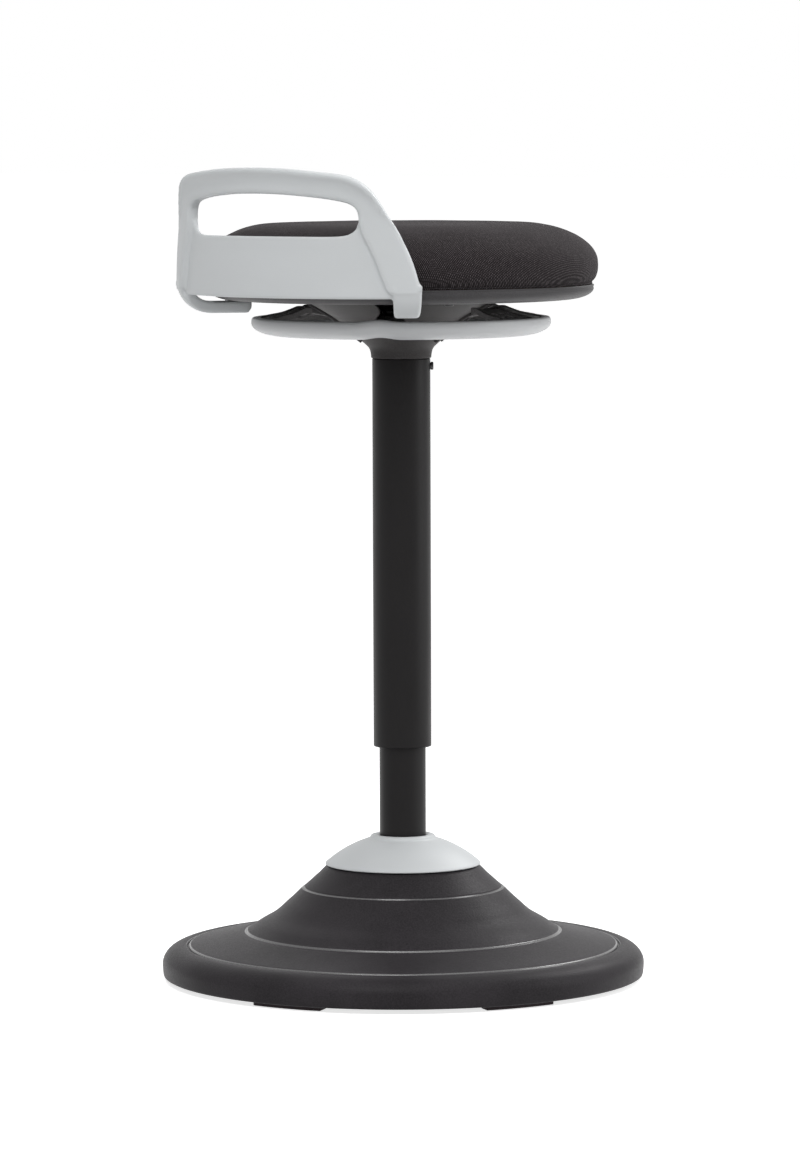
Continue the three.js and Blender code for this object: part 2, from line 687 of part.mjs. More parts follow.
function buildBase() {
  const group = new THREE.Group();
  addPart(group, 'base_cover', baseCover(), DARK_PLASTIC);
  addPart(group, 'base_plate', basePlate(), BLACK_STEEL);
  addPart(group, 'base_weight', baseWeight(), CAST_IRON);
  around(PAD_COUNT, PAD_START_ANGLE).forEach((angle, i) =>
    addPart(group, `foot_pad_${i + 1}`, footPad(angle), RUBBER));
  coverScrewSpots().forEach((spot, i) =>
    addPart(group, `cover_screw_${i + 1}`, coverScrew(spot), BARE_STEEL));
  addPart(group, 'pivot_socket', pivotSocket(), CAST_IRON);
  socketBoltSpots().forEach((spot, i) =>
    addPart(group, `socket_bolt_${i + 1}`, socketBolt(spot), BARE_STEEL));
  addPart(group, 'pivot_pin_left', pivotPin(-1), BARE_STEEL);
  addPart(group, 'pivot_pin_right', pivotPin(1), BARE_STEEL);
  addPart(group, 'rubber_buffer', rubberBuffer(), RUBBER);
  return group;
}

// Tilting joint at the foot of the column

function pivotBore(reach, direction) {
  const end = direction === 'x' ? [reach, 0, PIVOT_HEIGHT] : [0, reach, PIVOT_HEIGHT];
  const start = direction === 'x' ? [-reach, 0, PIVOT_HEIGHT] : [0, -reach, PIVOT_HEIGHT];
  return bar(PIN_RADIUS + GAP, start, end, SMALL_FACETS);
}

function pivotSocket() {
  const body = revolve([
    [SOCKET_BORE_RADIUS, socketBottom], [SOCKET_FLANGE_RADIUS, socketBottom],
    [SOCKET_FLANGE_RADIUS, socketFlangeTop], [SOCKET_RADIUS, socketFlangeTop],
    [SOCKET_RADIUS, SOCKET_TOP_HEIGHT - SOCKET_LIP], [SOCKET_LIP_RADIUS, SOCKET_TOP_HEIGHT - SOCKET_LIP],
    [SOCKET_LIP_RADIUS, SOCKET_TOP_HEIGHT], [SOCKET_BORE_RADIUS, SOCKET_TOP_HEIGHT],
  ], TUBE_FACETS);
  const bolts = boresAt(
    socketBoltSpots(), SOCKET_BOLT_RADIUS, socketBottom - CUT_OVERRUN, socketFlangeTop + CUT_OVERRUN,
  );
  return cut(body, pivotBore(SOCKET_RADIUS + CUT_OVERRUN, 'x'), ...bolts);
}

function socketBolt([x, y]) {
  const headBottom = socketFlangeTop + GAP;
  return screwDown(
    SOCKET_BOLT_HEAD_RADIUS, headBottom + SOCKET_BOLT_HEAD, headBottom, SOCKET_BOLT_RADIUS, plateBottom,
  ).translate(x, y, 0);
}

function pivotPin(side) {
  const inner = [side * (GIMBAL_BORE_RADIUS + GAP), 0, PIVOT_HEIGHT];
  return bar(PIN_RADIUS, inner, [side * SOCKET_RADIUS, 0, PIVOT_HEIGHT], SMALL_FACETS);
}

function rubberBuffer() {
  return revolve([
    [BUFFER_BORE_RADIUS, bufferBottom], [BUFFER_RADIUS, bufferBottom],
    [BUFFER_RADIUS - BUFFER_WAIST, (bufferBottom + bufferTop) / 2],
    [BUFFER_RADIUS, bufferTop], [BUFFER_BORE_RADIUS, bufferTop],
  ], TUBE_FACETS);
}

function buildGimbal() {
  const group = new THREE.Group();
  const body = ring(
    GIMBAL_BORE_RADIUS, GIMBAL_RADIUS, PIVOT_HEIGHT - GIMBAL_HEIGHT / 2, PIVOT_HEIGHT + GIMBAL_HEIGHT / 2,
    TUBE_FACETS,
  );
  const reach = GIMBAL_RADIUS + CUT_OVERRUN;
  addPart(group, 'gimbal_ring', cut(body, pivotBore(reach, 'x'), pivotBore(reach, 'y')), CAST_IRON);
  const pin = bar(PIN_RADIUS, [0, -GIMBAL_RADIUS, PIVOT_HEIGHT], [0, GIMBAL_RADIUS, PIVOT_HEIGHT], SMALL_FACETS);
  addPart(group, 'column_pin', pin, BARE_STEEL);
  return group;
}

// Tilting column: plug, tube, spring flange, dome and the seat of the gas spring

function domeCap() {
  const innerRadius = NECK_SPHERE_RADIUS + DOME_GAP;
  const bore = LOWER_TUBE_RADIUS + GAP;
  const outerTop = 90 - THREE.MathUtils.radToDeg(domeTopAngle);
  const innerTop = 90 - THREE.MathUtils.radToDeg(Math.asin(bore / innerRadius));
  return revolve([
    ...arc(0, PIVOT_HEIGHT, domeRadius, 90 - DOME_SKIRT_ANGLE, outerTop, 5),
    [DOME_COLLAR_TOP_RADIUS, domeTop],
    [bore, domeTop],
    ...arc(0, PIVOT_HEIGHT, innerRadius, innerTop, 90 - DOME_SKIRT_ANGLE, 5),
  ], TUBE_FACETS);
}

function springFlange() {
  const bore = LOWER_TUBE_RADIUS + GAP;
  const hub = bore + SPRING_FLANGE_HUB_WALL;
  const top = springFlangeBottom + SPRING_FLANGE;
  return revolve([
    [bore, springFlangeBottom], [SPRING_FLANGE_RADIUS, springFlangeBottom], [SPRING_FLANGE_RADIUS, top],
    [hub, top], [hub, springFlangeBottom + SPRING_FLANGE_HUB], [bore, springFlangeBottom + SPRING_FLANGE_HUB],
  ], TUBE_FACETS);
}

function guideBush() {
  const bore = CYLINDER_RADIUS + GAP;
  const radius = lowerTubeBore - GAP;
  const bottom = lowerTubeTop - GUIDE_BUSH_LENGTH;
  return revolve([
    [bore, bottom], [radius, bottom], [radius, lowerTubeTop + GAP], [LOWER_TUBE_RADIUS, lowerTubeTop + GAP],
    [LOWER_TUBE_RADIUS, lowerTubeTop + GUIDE_BUSH_FLANGE], [bore, lowerTubeTop + GUIDE_BUSH_FLANGE],
  ], TUBE_FACETS);
}

function bearingCage() {
  const middle = cageBottom + BALL_RADIUS;
  const ballCircle = (RACE_BORE_RADIUS + RACE_RADIUS) / 2;
  const body = ring(
    ballCircle - CAGE_BAND / 2, ballCircle + CAGE_BAND / 2, middle - CAGE_THICKNESS / 2,
    middle + CAGE_THICKNESS / 2, SMALL_FACETS,
  );
  const balls = around(BALL_COUNT).map((angle) =>
    closed(new THREE.SphereGeometry(BALL_RADIUS, 6, 4)).translate(...polar(ballCircle, angle, middle)));
  return join(body, ...balls);
}

function buildColumn() {
  const group = new THREE.Group();
  const plug = cut(
    disc(plugRadius, plugBottom, plugTop, TUBE_FACETS),
    pivotBore(plugRadius + CUT_OVERRUN, 'y'),
  );
  addPart(group, 'column_foot', plug, BARE_STEEL);
  addPart(group, 'lower_tube',
    ring(lowerTubeBore, LOWER_TUBE_RADIUS, lowerTubeBottom, lowerTubeTop, TUBE_FACETS), BLACK_STEEL);
  addPart(group, 'spring_flange', springFlange(), CAST_IRON);
  addPart(group, 'dome_cap', domeCap(), GREY_PLASTIC);
  addPart(group, 'spacer_tube',
    ring(plugRadius - SPACER_WALL, plugRadius, spacerBottom, spacerBottom + SPACER_LENGTH, SMALL_FACETS),
    BARE_STEEL);
  addPart(group, 'rod_anchor',
    ring(ROD_TIP_RADIUS + GAP, plugRadius, anchorBottom, anchorTop, SMALL_FACETS), BARE_STEEL);
  addPart(group, 'bearing_race_lower',
    ring(RACE_BORE_RADIUS, RACE_RADIUS, lowerRaceBottom, lowerRaceBottom + RACE_THICKNESS, SMALL_FACETS),
    BARE_STEEL);
  addPart(group, 'bearing_cage', bearingCage(), BEARING_BUSH);
  addPart(group, 'guide_bush', guideBush(), BEARING_BUSH);
  return group;
}

// Gas spring rod, which turns on the thrust bearing

function pistonRod() {
  const neck = ROD_TIP_RADIUS - GAP;
  const seat = pistonBottom - GAP;
  return revolve([
    [0, rodTipBottom], [ROD_TIP_RADIUS, rodTipBottom], [ROD_TIP_RADIUS, shoulderBottom],
    [ROD_SHOULDER_RADIUS, shoulderBottom], [ROD_SHOULDER_RADIUS, shoulderTop], [ROD_RADIUS, shoulderTop],
    [ROD_RADIUS, seat], [neck, seat], [neck, pistonTop + ROD_SHOULDER], [0, pistonTop + ROD_SHOULDER],
  ], SMALL_FACETS);
}

function buildRod() {
  const group = new THREE.Group();
  addPart(group, 'bearing_race_upper',
    ring(RACE_BORE_RADIUS, RACE_RADIUS, upperRaceBottom, upperRaceBottom + RACE_THICKNESS, SMALL_FACETS),
    BARE_STEEL);
  addPart(group, 'piston_rod', pistonRod(), BARE_STEEL);
  addPart(group, 'piston',
    ring(ROD_TIP_RADIUS, cylinderBore - GAP, pistonBottom, pistonTop, SMALL_FACETS), BARE_STEEL);
  const clipTop = anchorBottom - GAP;
  addPart(group, 'rod_clip',
    ring(ROD_TIP_RADIUS + GAP, CLIP_RADIUS, clipTop - CLIP_THICKNESS, clipTop, SMALL_FACETS), BARE_STEEL);
  return group;
}

// Upper column: gas cylinder, outer tube and the seat carrier

function gasCylinder() {
  return revolve([
    [ROD_RADIUS + GAP, cylinderBottom], [CYLINDER_RADIUS, cylinderBottom], [CYLINDER_RADIUS, cylinderTop],
    [BUTTON_RADIUS + GAP, cylinderTop], [BUTTON_RADIUS + GAP, cavityTop], [cylinderBore, cavityTop],
    [cylinderBore, cavityBottom], [ROD_RADIUS + GAP, cavityBottom],
  ], TUBE_FACETS);
}

function setScrewBore() {
  const height = upperTubeTop - SET_SCREW_DROP;
  const start = polar(CYLINDER_RADIUS, SET_SCREW_ANGLE, height);
  const end = polar(UPPER_TUBE_RADIUS + CUT_OVERRUN, SET_SCREW_ANGLE, height);
  return bar(SET_SCREW_RADIUS + GAP, start, end, SCREW_FACETS);
}

function setScrew() {
  const height = upperTubeTop - SET_SCREW_DROP;
  const at = (radius) => polar(radius, SET_SCREW_ANGLE, height);
  const face = UPPER_TUBE_RADIUS + GAP;
  const shank = bar(SET_SCREW_RADIUS, at(upperTubeBore - SET_SCREW_BITE), at(face + GAP), SCREW_FACETS);
  return join(shank, bar(SET_SCREW_HEAD_RADIUS, at(face), at(face + SET_SCREW_HEAD), SCREW_FACETS));
}

function upperTube() {
  const chamferTop = upperTubeBottom + UPPER_TUBE_CHAMFER;
  const body = revolve([
    [upperTubeBore, upperTubeBottom], [UPPER_TUBE_RADIUS - UPPER_TUBE_CHAMFER, upperTubeBottom],
    [UPPER_TUBE_RADIUS, chamferTop], [UPPER_TUBE_RADIUS, upperTubeTop], [upperTubeBore, upperTubeTop],
  ], TUBE_FACETS);
  return cut(body, setScrewBore());
}

function trumpetOutline() {
  const start = carrierBottom + CARRIER_LIP_HEIGHT;
  const run = CARRIER_TOP_RADIUS - CARRIER_LIP_RADIUS;
  const rise = CARRIER_HEIGHT - CARRIER_LIP_HEIGHT - CARRIER_EDGE;
  return TRUMPET_SHARES.map(([radius, height]) => [CARRIER_LIP_RADIUS + run * radius, start + rise * height]);
}

function carrierBody() {
  const trumpet = trumpetOutline();
  const lip = CARRIER_LIP_RADIUS - CARRIER_LIP_SETBACK;
  const below = [[spigotRadius, spigotBottom], [spigotRadius, carrierBottom], [lip, carrierBottom]];
  const cavity = inset(trumpet, CARRIER_WALL).filter(([, height]) => height > carrierFloorTop);
  const cavityFoot = cavity[0][0] - (cavity[0][1] - carrierFloorTop);
  const profile = [
    ...below, ...trumpet, [CARRIER_TOP_RADIUS, carrierTop],
    [cavity.at(-1)[0], carrierTop], ...cavity.slice(0, -1).reverse(), [cavityFoot, carrierFloorTop],
    [BORE_BOSS_RADIUS, carrierFloorTop], [BORE_BOSS_RADIUS, boreBossTop],
    [carrierBore, boreBossTop], [carrierBore, spigotBottom],
  ];
  const filled = [
    [0, carrierFloorTop], ...trumpet.filter(([, height]) => height > carrierFloorTop),
    [CARRIER_TOP_RADIUS, carrierTop], [0, carrierTop],
  ];
  return { shell: revolve(profile, TUBE_FACETS), filled: revolve(filled, TUBE_FACETS) };
}

function panBoltSpots() {
  return around(PAN_BOLT_COUNT, ARM_ANGLE + 360 / PAN_BOLT_COUNT / 2)
    .map((angle) => polar(PAN_BOLT_CIRCLE_RADIUS, angle, 0));
}

/** The two slots in the trumpet wall, with rounded ends. */
function carrierSlots() {
  const half = CARRIER_SLOT_WIDTH / 2;
  const low = carrierBottom + CARRIER_SLOT_RISE;
  const high = low + CARRIER_SLOT_HEIGHT;
  const edge = CARRIER_SLOT_ROUND;
  const shape = new THREE.Shape();
  shape.moveTo(-half + edge, low);
  shape.absarc(half - edge, low + edge, edge, -Math.PI / 2, 0);
  shape.absarc(half - edge, high - edge, edge, 0, Math.PI / 2);
  shape.absarc(-half + edge, high - edge, edge, Math.PI / 2, Math.PI);
  shape.absarc(-half + edge, low + edge, edge, Math.PI, (3 * Math.PI) / 2);
  const depth = CARRIER_TOP_RADIUS + CARRIER_TOP_RADIUS + CUT_OVERRUN;
  const geometry = new THREE.ExtrudeGeometry(shape, { depth, bevelEnabled: false, curveSegments: 3 });
  const through = closed(geometry.rotateX(Math.PI / 2).translate(0, depth / 2, 0));
  const body = through.rotateZ(radians(ARM_ANGLE));
  return cut(body, disc(BORE_BOSS_RADIUS + SLEEVE_WALL, spigotBottom, carrierTop, TUBE_FACETS));
}

function armWindows() {
  const half = ARM_WIDTH / 2 + WINDOW_CLEARANCE;
  const reach = CARRIER_TOP_RADIUS + CUT_OVERRUN;
  const bottom = carrierBottom + WINDOW_SILL;
  return [ARM_ANGLE, ARM_ANGLE + 180].map((angle) =>
    block([sleeveRadius, -half, bottom], [reach, half, carrierTop + CUT_OVERRUN], angle));
}

/** The two ears that hold the rocker's pin, in the rocker's own frame. */
function yokeEars() {
  const outer = Math.sqrt(BORE_BOSS_RADIUS ** 2 - (ROCKER_PIVOT_OFFSET + YOKE_WIDTH / 2) ** 2) - GAP;
  const low = ROCKER_PIVOT_OFFSET - YOKE_WIDTH / 2;
  return [-1, 1].map((side) => {
    const faces = [side * outer, side * (outer - YOKE_WALL)].sort((a, b) => a - b);
    return block(
      [low, faces[0], boreBossTop - GAP], [low + YOKE_WIDTH, faces[1], boreBossTop + YOKE_RISE], LEVER_ANGLE,
    );
  });
}

/** A round bar on the rocker's pivot line, reaching the same way to both sides. */
function pivotBar(radius, reach) {
  return bar(radius, [ROCKER_PIVOT_OFFSET, -reach, rockerPivotHeight],
    [ROCKER_PIVOT_OFFSET, reach, rockerPivotHeight], SCREW_FACETS).rotateZ(radians(LEVER_ANGLE));
}

function seatCarrier() {
  const { shell, filled } = carrierBody();
  const bosses = panBoltSpots().map(([x, y]) =>
    keep(disc(PAN_BOLT_BOSS_RADIUS, carrierFloorTop, carrierTop, SCREW_FACETS).translate(x, y, 0), filled));
  const boreBottom = carrierTop - PAN_BOLT_DEPTH - GAP;
  return cut(
    join(cut(shell, carrierSlots(), ...armWindows()), ...bosses, ...yokeEars()),
    ...boresAt(panBoltSpots(), PAN_BOLT_RADIUS, boreBottom, carrierTop + CUT_OVERRUN),
    pivotBar(ROCKER_PIN_RADIUS + GAP, BORE_BOSS_RADIUS),
    setScrewBore(),
  );
}

function rocker() {
  const half = ROCKER_WIDTH / 2;
  const body = block([0, -half, rockerBottom], [sleeveRadius, half, rockerBottom + ROCKER_THICKNESS], LEVER_ANGLE);
  const eye = pivotBar(ROCKER_EYE_RADIUS, half);
  return cut(join(body, eye), pivotBar(ROCKER_PIN_RADIUS + GAP, ROCKER_WIDTH));
}

function buildUpperColumn() {
  const group = new THREE.Group();
  addPart(group, 'gas_cylinder', gasCylinder(), BLACK_STEEL);
  addPart(group, 'upper_tube', upperTube(), BLACK_STEEL);
  const bushBottom = upperTubeBottom + SLIDE_BUSH_INSET;
  addPart(group, 'slide_bush',
    ring(LOWER_TUBE_RADIUS + GAP, slideBushRadius, bushBottom, bushBottom + SLIDE_BUSH_LENGTH, TUBE_FACETS),
    BLACK_PLASTIC);
  addPart(group, 'set_screw', setScrew(), BLACK_STEEL);
  addPart(group, 'seat_carrier', seatCarrier(), DARK_PLASTIC);
  addPart(group, 'rocker_pin', pivotBar(ROCKER_PIN_RADIUS, BORE_BOSS_RADIUS - YOKE_WALL - GAP), BARE_STEEL);
  addPart(group, 'release_rocker', rocker(), BARE_STEEL);
  addPart(group, 'valve_button', disc(BUTTON_RADIUS, buttonTop - BUTTON_LENGTH, buttonTop, SCREW_FACETS),
    BARE_STEEL);
  return group;
}

// Ring lever and the spider that carries it

/** Raises the ring by a low wave on the outside, where fingers find it. */
function withWave(geometry) {
  const position = geometry.getAttribute('position');
  for (let i = 0; i < position.count; i += 1) {
    const angle = THREE.MathUtils.radToDeg(Math.atan2(position.getY(i), position.getX(i)));
    const share = (angle - WAVE_ANGLE) / WAVE_HALF_ARC;
    const rise = Math.abs(share) < 1 ? (WAVE_RISE * (1 + Math.cos(Math.PI * share))) / 2 : 0;
    position.setZ(i, position.getZ(i) + rise);
  }
  return geometry;
}

function leverRing() {
  const outer = RING_OUTER_SHARES.map(([setback, height]) =>
    [RING_RADIUS - RING_BAND * setback, ringBottom + RING_HEIGHT * height]);
  const inner = inset([...outer].reverse(), RING_WALL).slice(0, -2);
  inner[0][0] = RING_RADIUS - RING_BAND;
  return withWave(revolve([...outer, ...inner, [ringBore, ringTop]], WIDE_FACETS));
}

function fan(middle) {
  const rimTop = ringTop + SPIDER_RIM_PROUD;
  const rootTop = panBottom - FAN_ROOT_DROP;
  const start = spiderRimRadius - SPIDER_RIM_BAND / 2;
  const top = FAN_TOP_SHARES.map(([run, rise]) =>
    [start + (FAN_ROOT_RADIUS - start) * run, rimTop + (rootTop - rimTop) * rise]);
  const section = [...top, ...top.map(([radius, height]) => [radius, height - FAN_THICKNESS]).reverse()];
  return loft(angleSteps(middle - FAN_HALF_ARC, middle + FAN_HALF_ARC, FAN_STEP_ANGLE)
    .map((angle) => ({ angle, section })));
}

/** Two rows of through pockets near the rim of one fan. */
function fanPockets(middle) {
  const pitch = (FAN_HALF_ARC + FAN_HALF_ARC) / (FAN_POCKET_COUNT + 1);
  return FAN_POCKET_ROW_OFFSETS.flatMap((offset) => {
    const outer = spiderRimRadius - offset;
    return Array.from({ length: FAN_POCKET_COUNT }, (unused, i) => block(
      [outer - FAN_POCKET_LENGTH, -FAN_POCKET_WIDTH / 2, ringBottom],
      [outer, FAN_POCKET_WIDTH / 2, panBottom],
      middle - FAN_HALF_ARC + pitch * (i + 1),
    ));
  });
}

/** An arm that climbs from the sleeve to the root of its fan. */
function spiderArm(angle) {
  const low = carrierFloorTop + GAP;
  const rootTop = panBottom - FAN_ROOT_DROP;
  const rootBottom = rootTop - FAN_THICKNESS;
  const tip = FAN_ROOT_RADIUS + ARM_THICKNESS;
  const shape = new THREE.Shape([
    [sleeveRadius - SLEEVE_WALL / 2, low], [ARM_BEND_RADIUS, low],
    [ARM_CLIMB_RADIUS, carrierBottom + WINDOW_SILL + GAP + GAP], [FAN_ROOT_RADIUS, rootBottom - GAP],
    [tip, rootBottom - GAP], [tip, rootTop - GAP], [FAN_ROOT_RADIUS - ARM_THICKNESS, rootTop - GAP],
    [ARM_BEND_RADIUS, sleeveTop], [sleeveRadius - SLEEVE_WALL / 2, sleeveTop],
  ].map(([radius, height]) => new THREE.Vector2(radius, height)));
  const geometry = new THREE.ExtrudeGeometry(shape, { depth: ARM_WIDTH, bevelEnabled: false });
  return closed(geometry.rotateX(Math.PI / 2).translate(0, ARM_WIDTH / 2, 0).rotateZ(radians(angle)));
}

function leverSpider() {
  const rimTop = ringTop + SPIDER_RIM_PROUD;
  const rim = ring(
    spiderRimRadius - SPIDER_RIM_BAND, spiderRimRadius, rimTop - SPIDER_RIM_HEIGHT, rimTop, WIDE_FACETS,
  );
  const sleeve = ring(sleeveBore, sleeveRadius, carrierFloorTop + GAP, sleeveTop, TUBE_FACETS);
  const sides = [ARM_ANGLE, ARM_ANGLE + 180];
  const body = join(rim, sleeve, ...sides.map(fan), ...sides.map(spiderArm));
  return cut(body, ...sides.flatMap(fanPockets));
}

function buildLever() {
  const group = new THREE.Group();
  addPart(group, 'lever_ring', leverRing(), GREY_PLASTIC);
  addPart(group, 'lever_spider', leverSpider(), DARK_PLASTIC);
  return group;
}

// Seat: pan, board, cushion and their fasteners

function boardScrewSpots() {
  return around(BOARD_SCREW_COUNT, REAR_ANGLE + 180)
    .map((angle) => polar(PAN_RADIUS - BOARD_SCREW_SETBACK, angle, 0));
}

function handleScrewSpots() {
  const angle = (FOOT_START_ANGLE + LEG_END_ANGLE) / 2;
  return [REAR_ANGLE + angle, REAR_ANGLE - angle]
    .map((spot) => polar(PAN_RADIUS - HANDLE_SCREW_SETBACK, spot, 0));
}

function seatPan() {
  const inner = PAN_RADIUS - PAN_WALL;
  const ledge = panFloorTop + PAN_LEDGE_RISE;
  const roundRadius = PAN_RADIUS - PAN_EDGE_ROUND;
  const body = revolve([
    [0, panBottom], ...arc(roundRadius, panBottom + PAN_EDGE_ROUND, PAN_EDGE_ROUND, -90, 0, 3),
    [PAN_RADIUS, panTop], [inner, panTop], [inner, ledge], [inner - PAN_LEDGE_BAND, ledge],
    [inner - PAN_LEDGE_BAND, panFloorTop], [0, panFloorTop],
  ], WIDE_FACETS);
  const bosses = [...boardScrewSpots(), ...handleScrewSpots()].map(([x, y]) =>
    disc(BOSS_RADIUS, panFloorTop - GAP, ledge, SCREW_FACETS).translate(x, y, 0));
  const below = panBottom - CUT_OVERRUN;
  return cut(
    join(body, ...bosses),
    ...boresAt(boardScrewSpots(), BOARD_SCREW_RADIUS, below, ledge + CUT_OVERRUN),
    ...boresAt(panBoltSpots(), PAN_BOLT_RADIUS, below, panFloorTop + CUT_OVERRUN),
    ...boresAt(handleScrewSpots(), HANDLE_SCREW_RADIUS, below, panBottom + HANDLE_SCREW_BITE + GAP),
  );
}

function seatBoard() {
  const top = boardBottom + BOARD_SCREW_BITE + GAP;
  return cut(
    disc(boardRadius, boardBottom, boardTop, WIDE_FACETS),
    ...boresAt(boardScrewSpots(), BOARD_SCREW_RADIUS, boardBottom - CUT_OVERRUN, top),
  );
}

function cushion() {
  const side = CUSHION_SIDE_SHARES.map(([run, rise]) => [
    cushionRadius - CUSHION_UNDERCUT * (1 - run),
    cushionBottom + CUSHION_THICKNESS * rise,
  ]);
  const crown = CUSHION_CROWN_SHARES.map(([radius, height]) =>
    [cushionRadius * radius, cushionBottom + CUSHION_THICKNESS * height]);
  return revolve(
    [[0, cushionBottom], ...side, ...crown, [0, cushionBottom + CUSHION_THICKNESS]],
    WIDE_FACETS,
  );
}

function panBolt([x, y]) {
  const headBottom = panFloorTop + GAP;
  return screwDown(
    PAN_BOLT_HEAD_RADIUS, headBottom + PAN_BOLT_HEAD, headBottom, PAN_BOLT_RADIUS, carrierTop - PAN_BOLT_DEPTH,
  ).translate(x, y, 0);
}

function boardScrew([x, y]) {
  const headTop = panBottom - GAP;
  return screwUp(
    BOARD_SCREW_HEAD_RADIUS, headTop - BOARD_SCREW_HEAD, headTop, BOARD_SCREW_RADIUS,
    boardBottom + BOARD_SCREW_BITE,
  ).translate(x, y, 0);
}

function handleScrew([x, y]) {
  const headBottom = tongueBottom + GAP;
  return screwUp(
    HANDLE_SCREW_HEAD_RADIUS, headBottom, headBottom + HANDLE_SCREW_HEAD, HANDLE_SCREW_RADIUS,
    panBottom + HANDLE_SCREW_BITE,
  ).translate(x, y, 0);
}

function buildSeat() {
  const group = new THREE.Group();
  addPart(group, 'seat_pan', seatPan(), DARK_PLASTIC);
  addPart(group, 'seat_board', seatBoard(), BOARD);
  addPart(group, 'cushion', cushion(), KNIT_FABRIC);
  panBoltSpots().forEach((spot, i) => addPart(group, `pan_bolt_${i + 1}`, panBolt(spot), BARE_STEEL));
  boardScrewSpots().forEach((spot, i) =>
    addPart(group, `board_screw_${i + 1}`, boardScrew(spot), BARE_STEEL));
  return group;
}

// Grab handle: rail, two legs, recessed web and two tongues under the pan

function handleHeight(share) {
  return panBottom + HANDLE_RISE * share;
}

/** A cut across the rail or a leg at one angle, with its rolled lip at the top. */
function railSection(offset, low) {
  const inner = handleRadius - HANDLE_WALL;
  const top = handleHeight(readTable(HANDLE_TOP_SHARES, Math.abs(offset) / LEG_END_ANGLE));
  const fade = (LIP_FADE_ANGLE - Math.abs(offset)) / (LIP_FADE_ANGLE - LIP_FULL_ANGLE);
  const reach = LIP_REACH * Math.min(1, Math.max(0, fade));
  const depth = Math.min(LIP_DEPTH, (top - low) * LIP_DEPTH_SHARE);
  const round = Math.min(LIP_ROUND, depth / 4);
  return [
    [inner, low], [handleRadius, low], [handleRadius, top - depth],
    [handleRadius + reach / 3, top - depth / 2], [handleRadius + reach, top - round],
    [handleRadius + reach - round, top], [inner + round, top], [inner, top - round],
  ];
}

/** Offsets from the rear where a table over the slot has its rows, on both sides. */
function slotOffsets(table) {
  const right = table.map(([share]) => share * SLOT_END_ANGLE);
  return [...right.slice(1).map((offset) => -offset).reverse(), ...right];
}

function handleRail() {
  return loft(slotOffsets(SLOT_TOP_SHARES).map((offset) => {
    const low = readTable(SLOT_TOP_SHARES, Math.abs(offset) / SLOT_END_ANGLE);
    return { angle: REAR_ANGLE - offset, section: railSection(offset, handleHeight(low)) };
  }));
}

function handleWeb() {
  const outer = handleRadius - WEB_RECESS;
  const inner = outer - WEB_WALL;
  const low = handleHeight(WEB_FOOT_SHARE);
  const offsets = [-WEB_END_ANGLE, ...slotOffsets(SLOT_FOOT_SHARES), WEB_END_ANGLE];
  return loft(offsets.map((offset) => {
    const share = Math.abs(offset) / SLOT_END_ANGLE;
    const high = handleHeight(share > 1 ? WEB_END_SHARE : readTable(SLOT_FOOT_SHARES, share));
    return { angle: REAR_ANGLE - offset, section: [[inner, low], [outer, low], [outer, high], [inner, high]] };
  }));
}

function handleLeg(side) {
  const bend = angleSteps(SLOT_END_ANGLE - LEG_LAP_ANGLE, FOOT_START_ANGLE, HANDLE_STEP_ANGLE / 2);
  const foot = angleSteps(FOOT_START_ANGLE, LEG_END_ANGLE, HANDLE_STEP_ANGLE / 3);
  return loft([...bend, ...foot.slice(1)].map((offset) => {
    const low = handleHeight(readTable(CREASE_SHARES, offset / LEG_END_ANGLE));
    return { angle: REAR_ANGLE - side * offset, section: railSection(offset, low) };
  }));
}

/** The foot of a leg, which curls in under the pan as a tongue. */
function handleFoot(side) {
  const inner = handleRadius - HANDLE_WALL;
  const bendRadius = handleRadius - TONGUE_BEND_RADIUS;
  const bendHeight = tongueBottom + TONGUE_BEND_RADIUS;
  const nose = PAN_RADIUS - TONGUE_LAP;
  const top = handleHeight(HANDLE_TOP_SHARES.at(-1)[1]);
  const section = [
    [inner, top], [handleRadius, top],
    ...arc(bendRadius, bendHeight, TONGUE_BEND_RADIUS, 0, -90, 5),
    [nose + TONGUE_NOSE_CHAMFER / 2, tongueBottom], [nose, tongueBottom + TONGUE_NOSE_CHAMFER],
    [nose, tongueTop],
    ...arc(bendRadius, bendHeight, TONGUE_BEND_RADIUS - HANDLE_WALL, -90, 0, 4),
  ];
  return loft(angleSteps(FOOT_START_ANGLE, LEG_END_ANGLE, 2).map((offset) => (
    { angle: REAR_ANGLE - side * offset, section })));
}

function handle() {
  const body = join(
    handleRail(), handleWeb(), handleLeg(-1), handleLeg(1), handleFoot(-1), handleFoot(1),
  );
  const shankBores = boresAt(handleScrewSpots(), HANDLE_SCREW_RADIUS, tongueBottom, tongueTop + CUT_OVERRUN);
  const headBores = boresAt(
    handleScrewSpots(), HANDLE_SCREW_HEAD_RADIUS, tongueBottom - CUT_OVERRUN,
    tongueBottom + GAP + HANDLE_SCREW_HEAD + GAP,
  );
  return cut(body, ...shankBores, ...headBores);
}

function buildHandle() {
  const group = new THREE.Group();
  addPart(group, 'handle', handle(), GREY_PLASTIC);
  const [left, right] = handleScrewSpots();
  addPart(group, 'handle_screw_left', handleScrew(left), BARE_STEEL);
  addPart(group, 'handle_screw_right', handleScrew(right), BARE_STEEL);
  return group;
}

const stool = new THREE.Group();
stool.add(buildBase(), buildGimbal(), buildColumn(), buildRod(), buildUpperColumn());
stool.add(buildLever(), buildSeat(), buildHandle());

export default stool;
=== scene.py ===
"""Looks of the perch stool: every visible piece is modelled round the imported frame.

Tables of outlines are in millimetres, and become metres where a mesh is made.
The column stands on +Z, the grab handle is at the rear, towards +Y.
"""

import json
import logging
import math
from contextlib import contextmanager
from dataclasses import dataclass
from enum import Enum
from typing import Iterator, Sequence

import bmesh
import bpy
from mathutils import Matrix, Vector


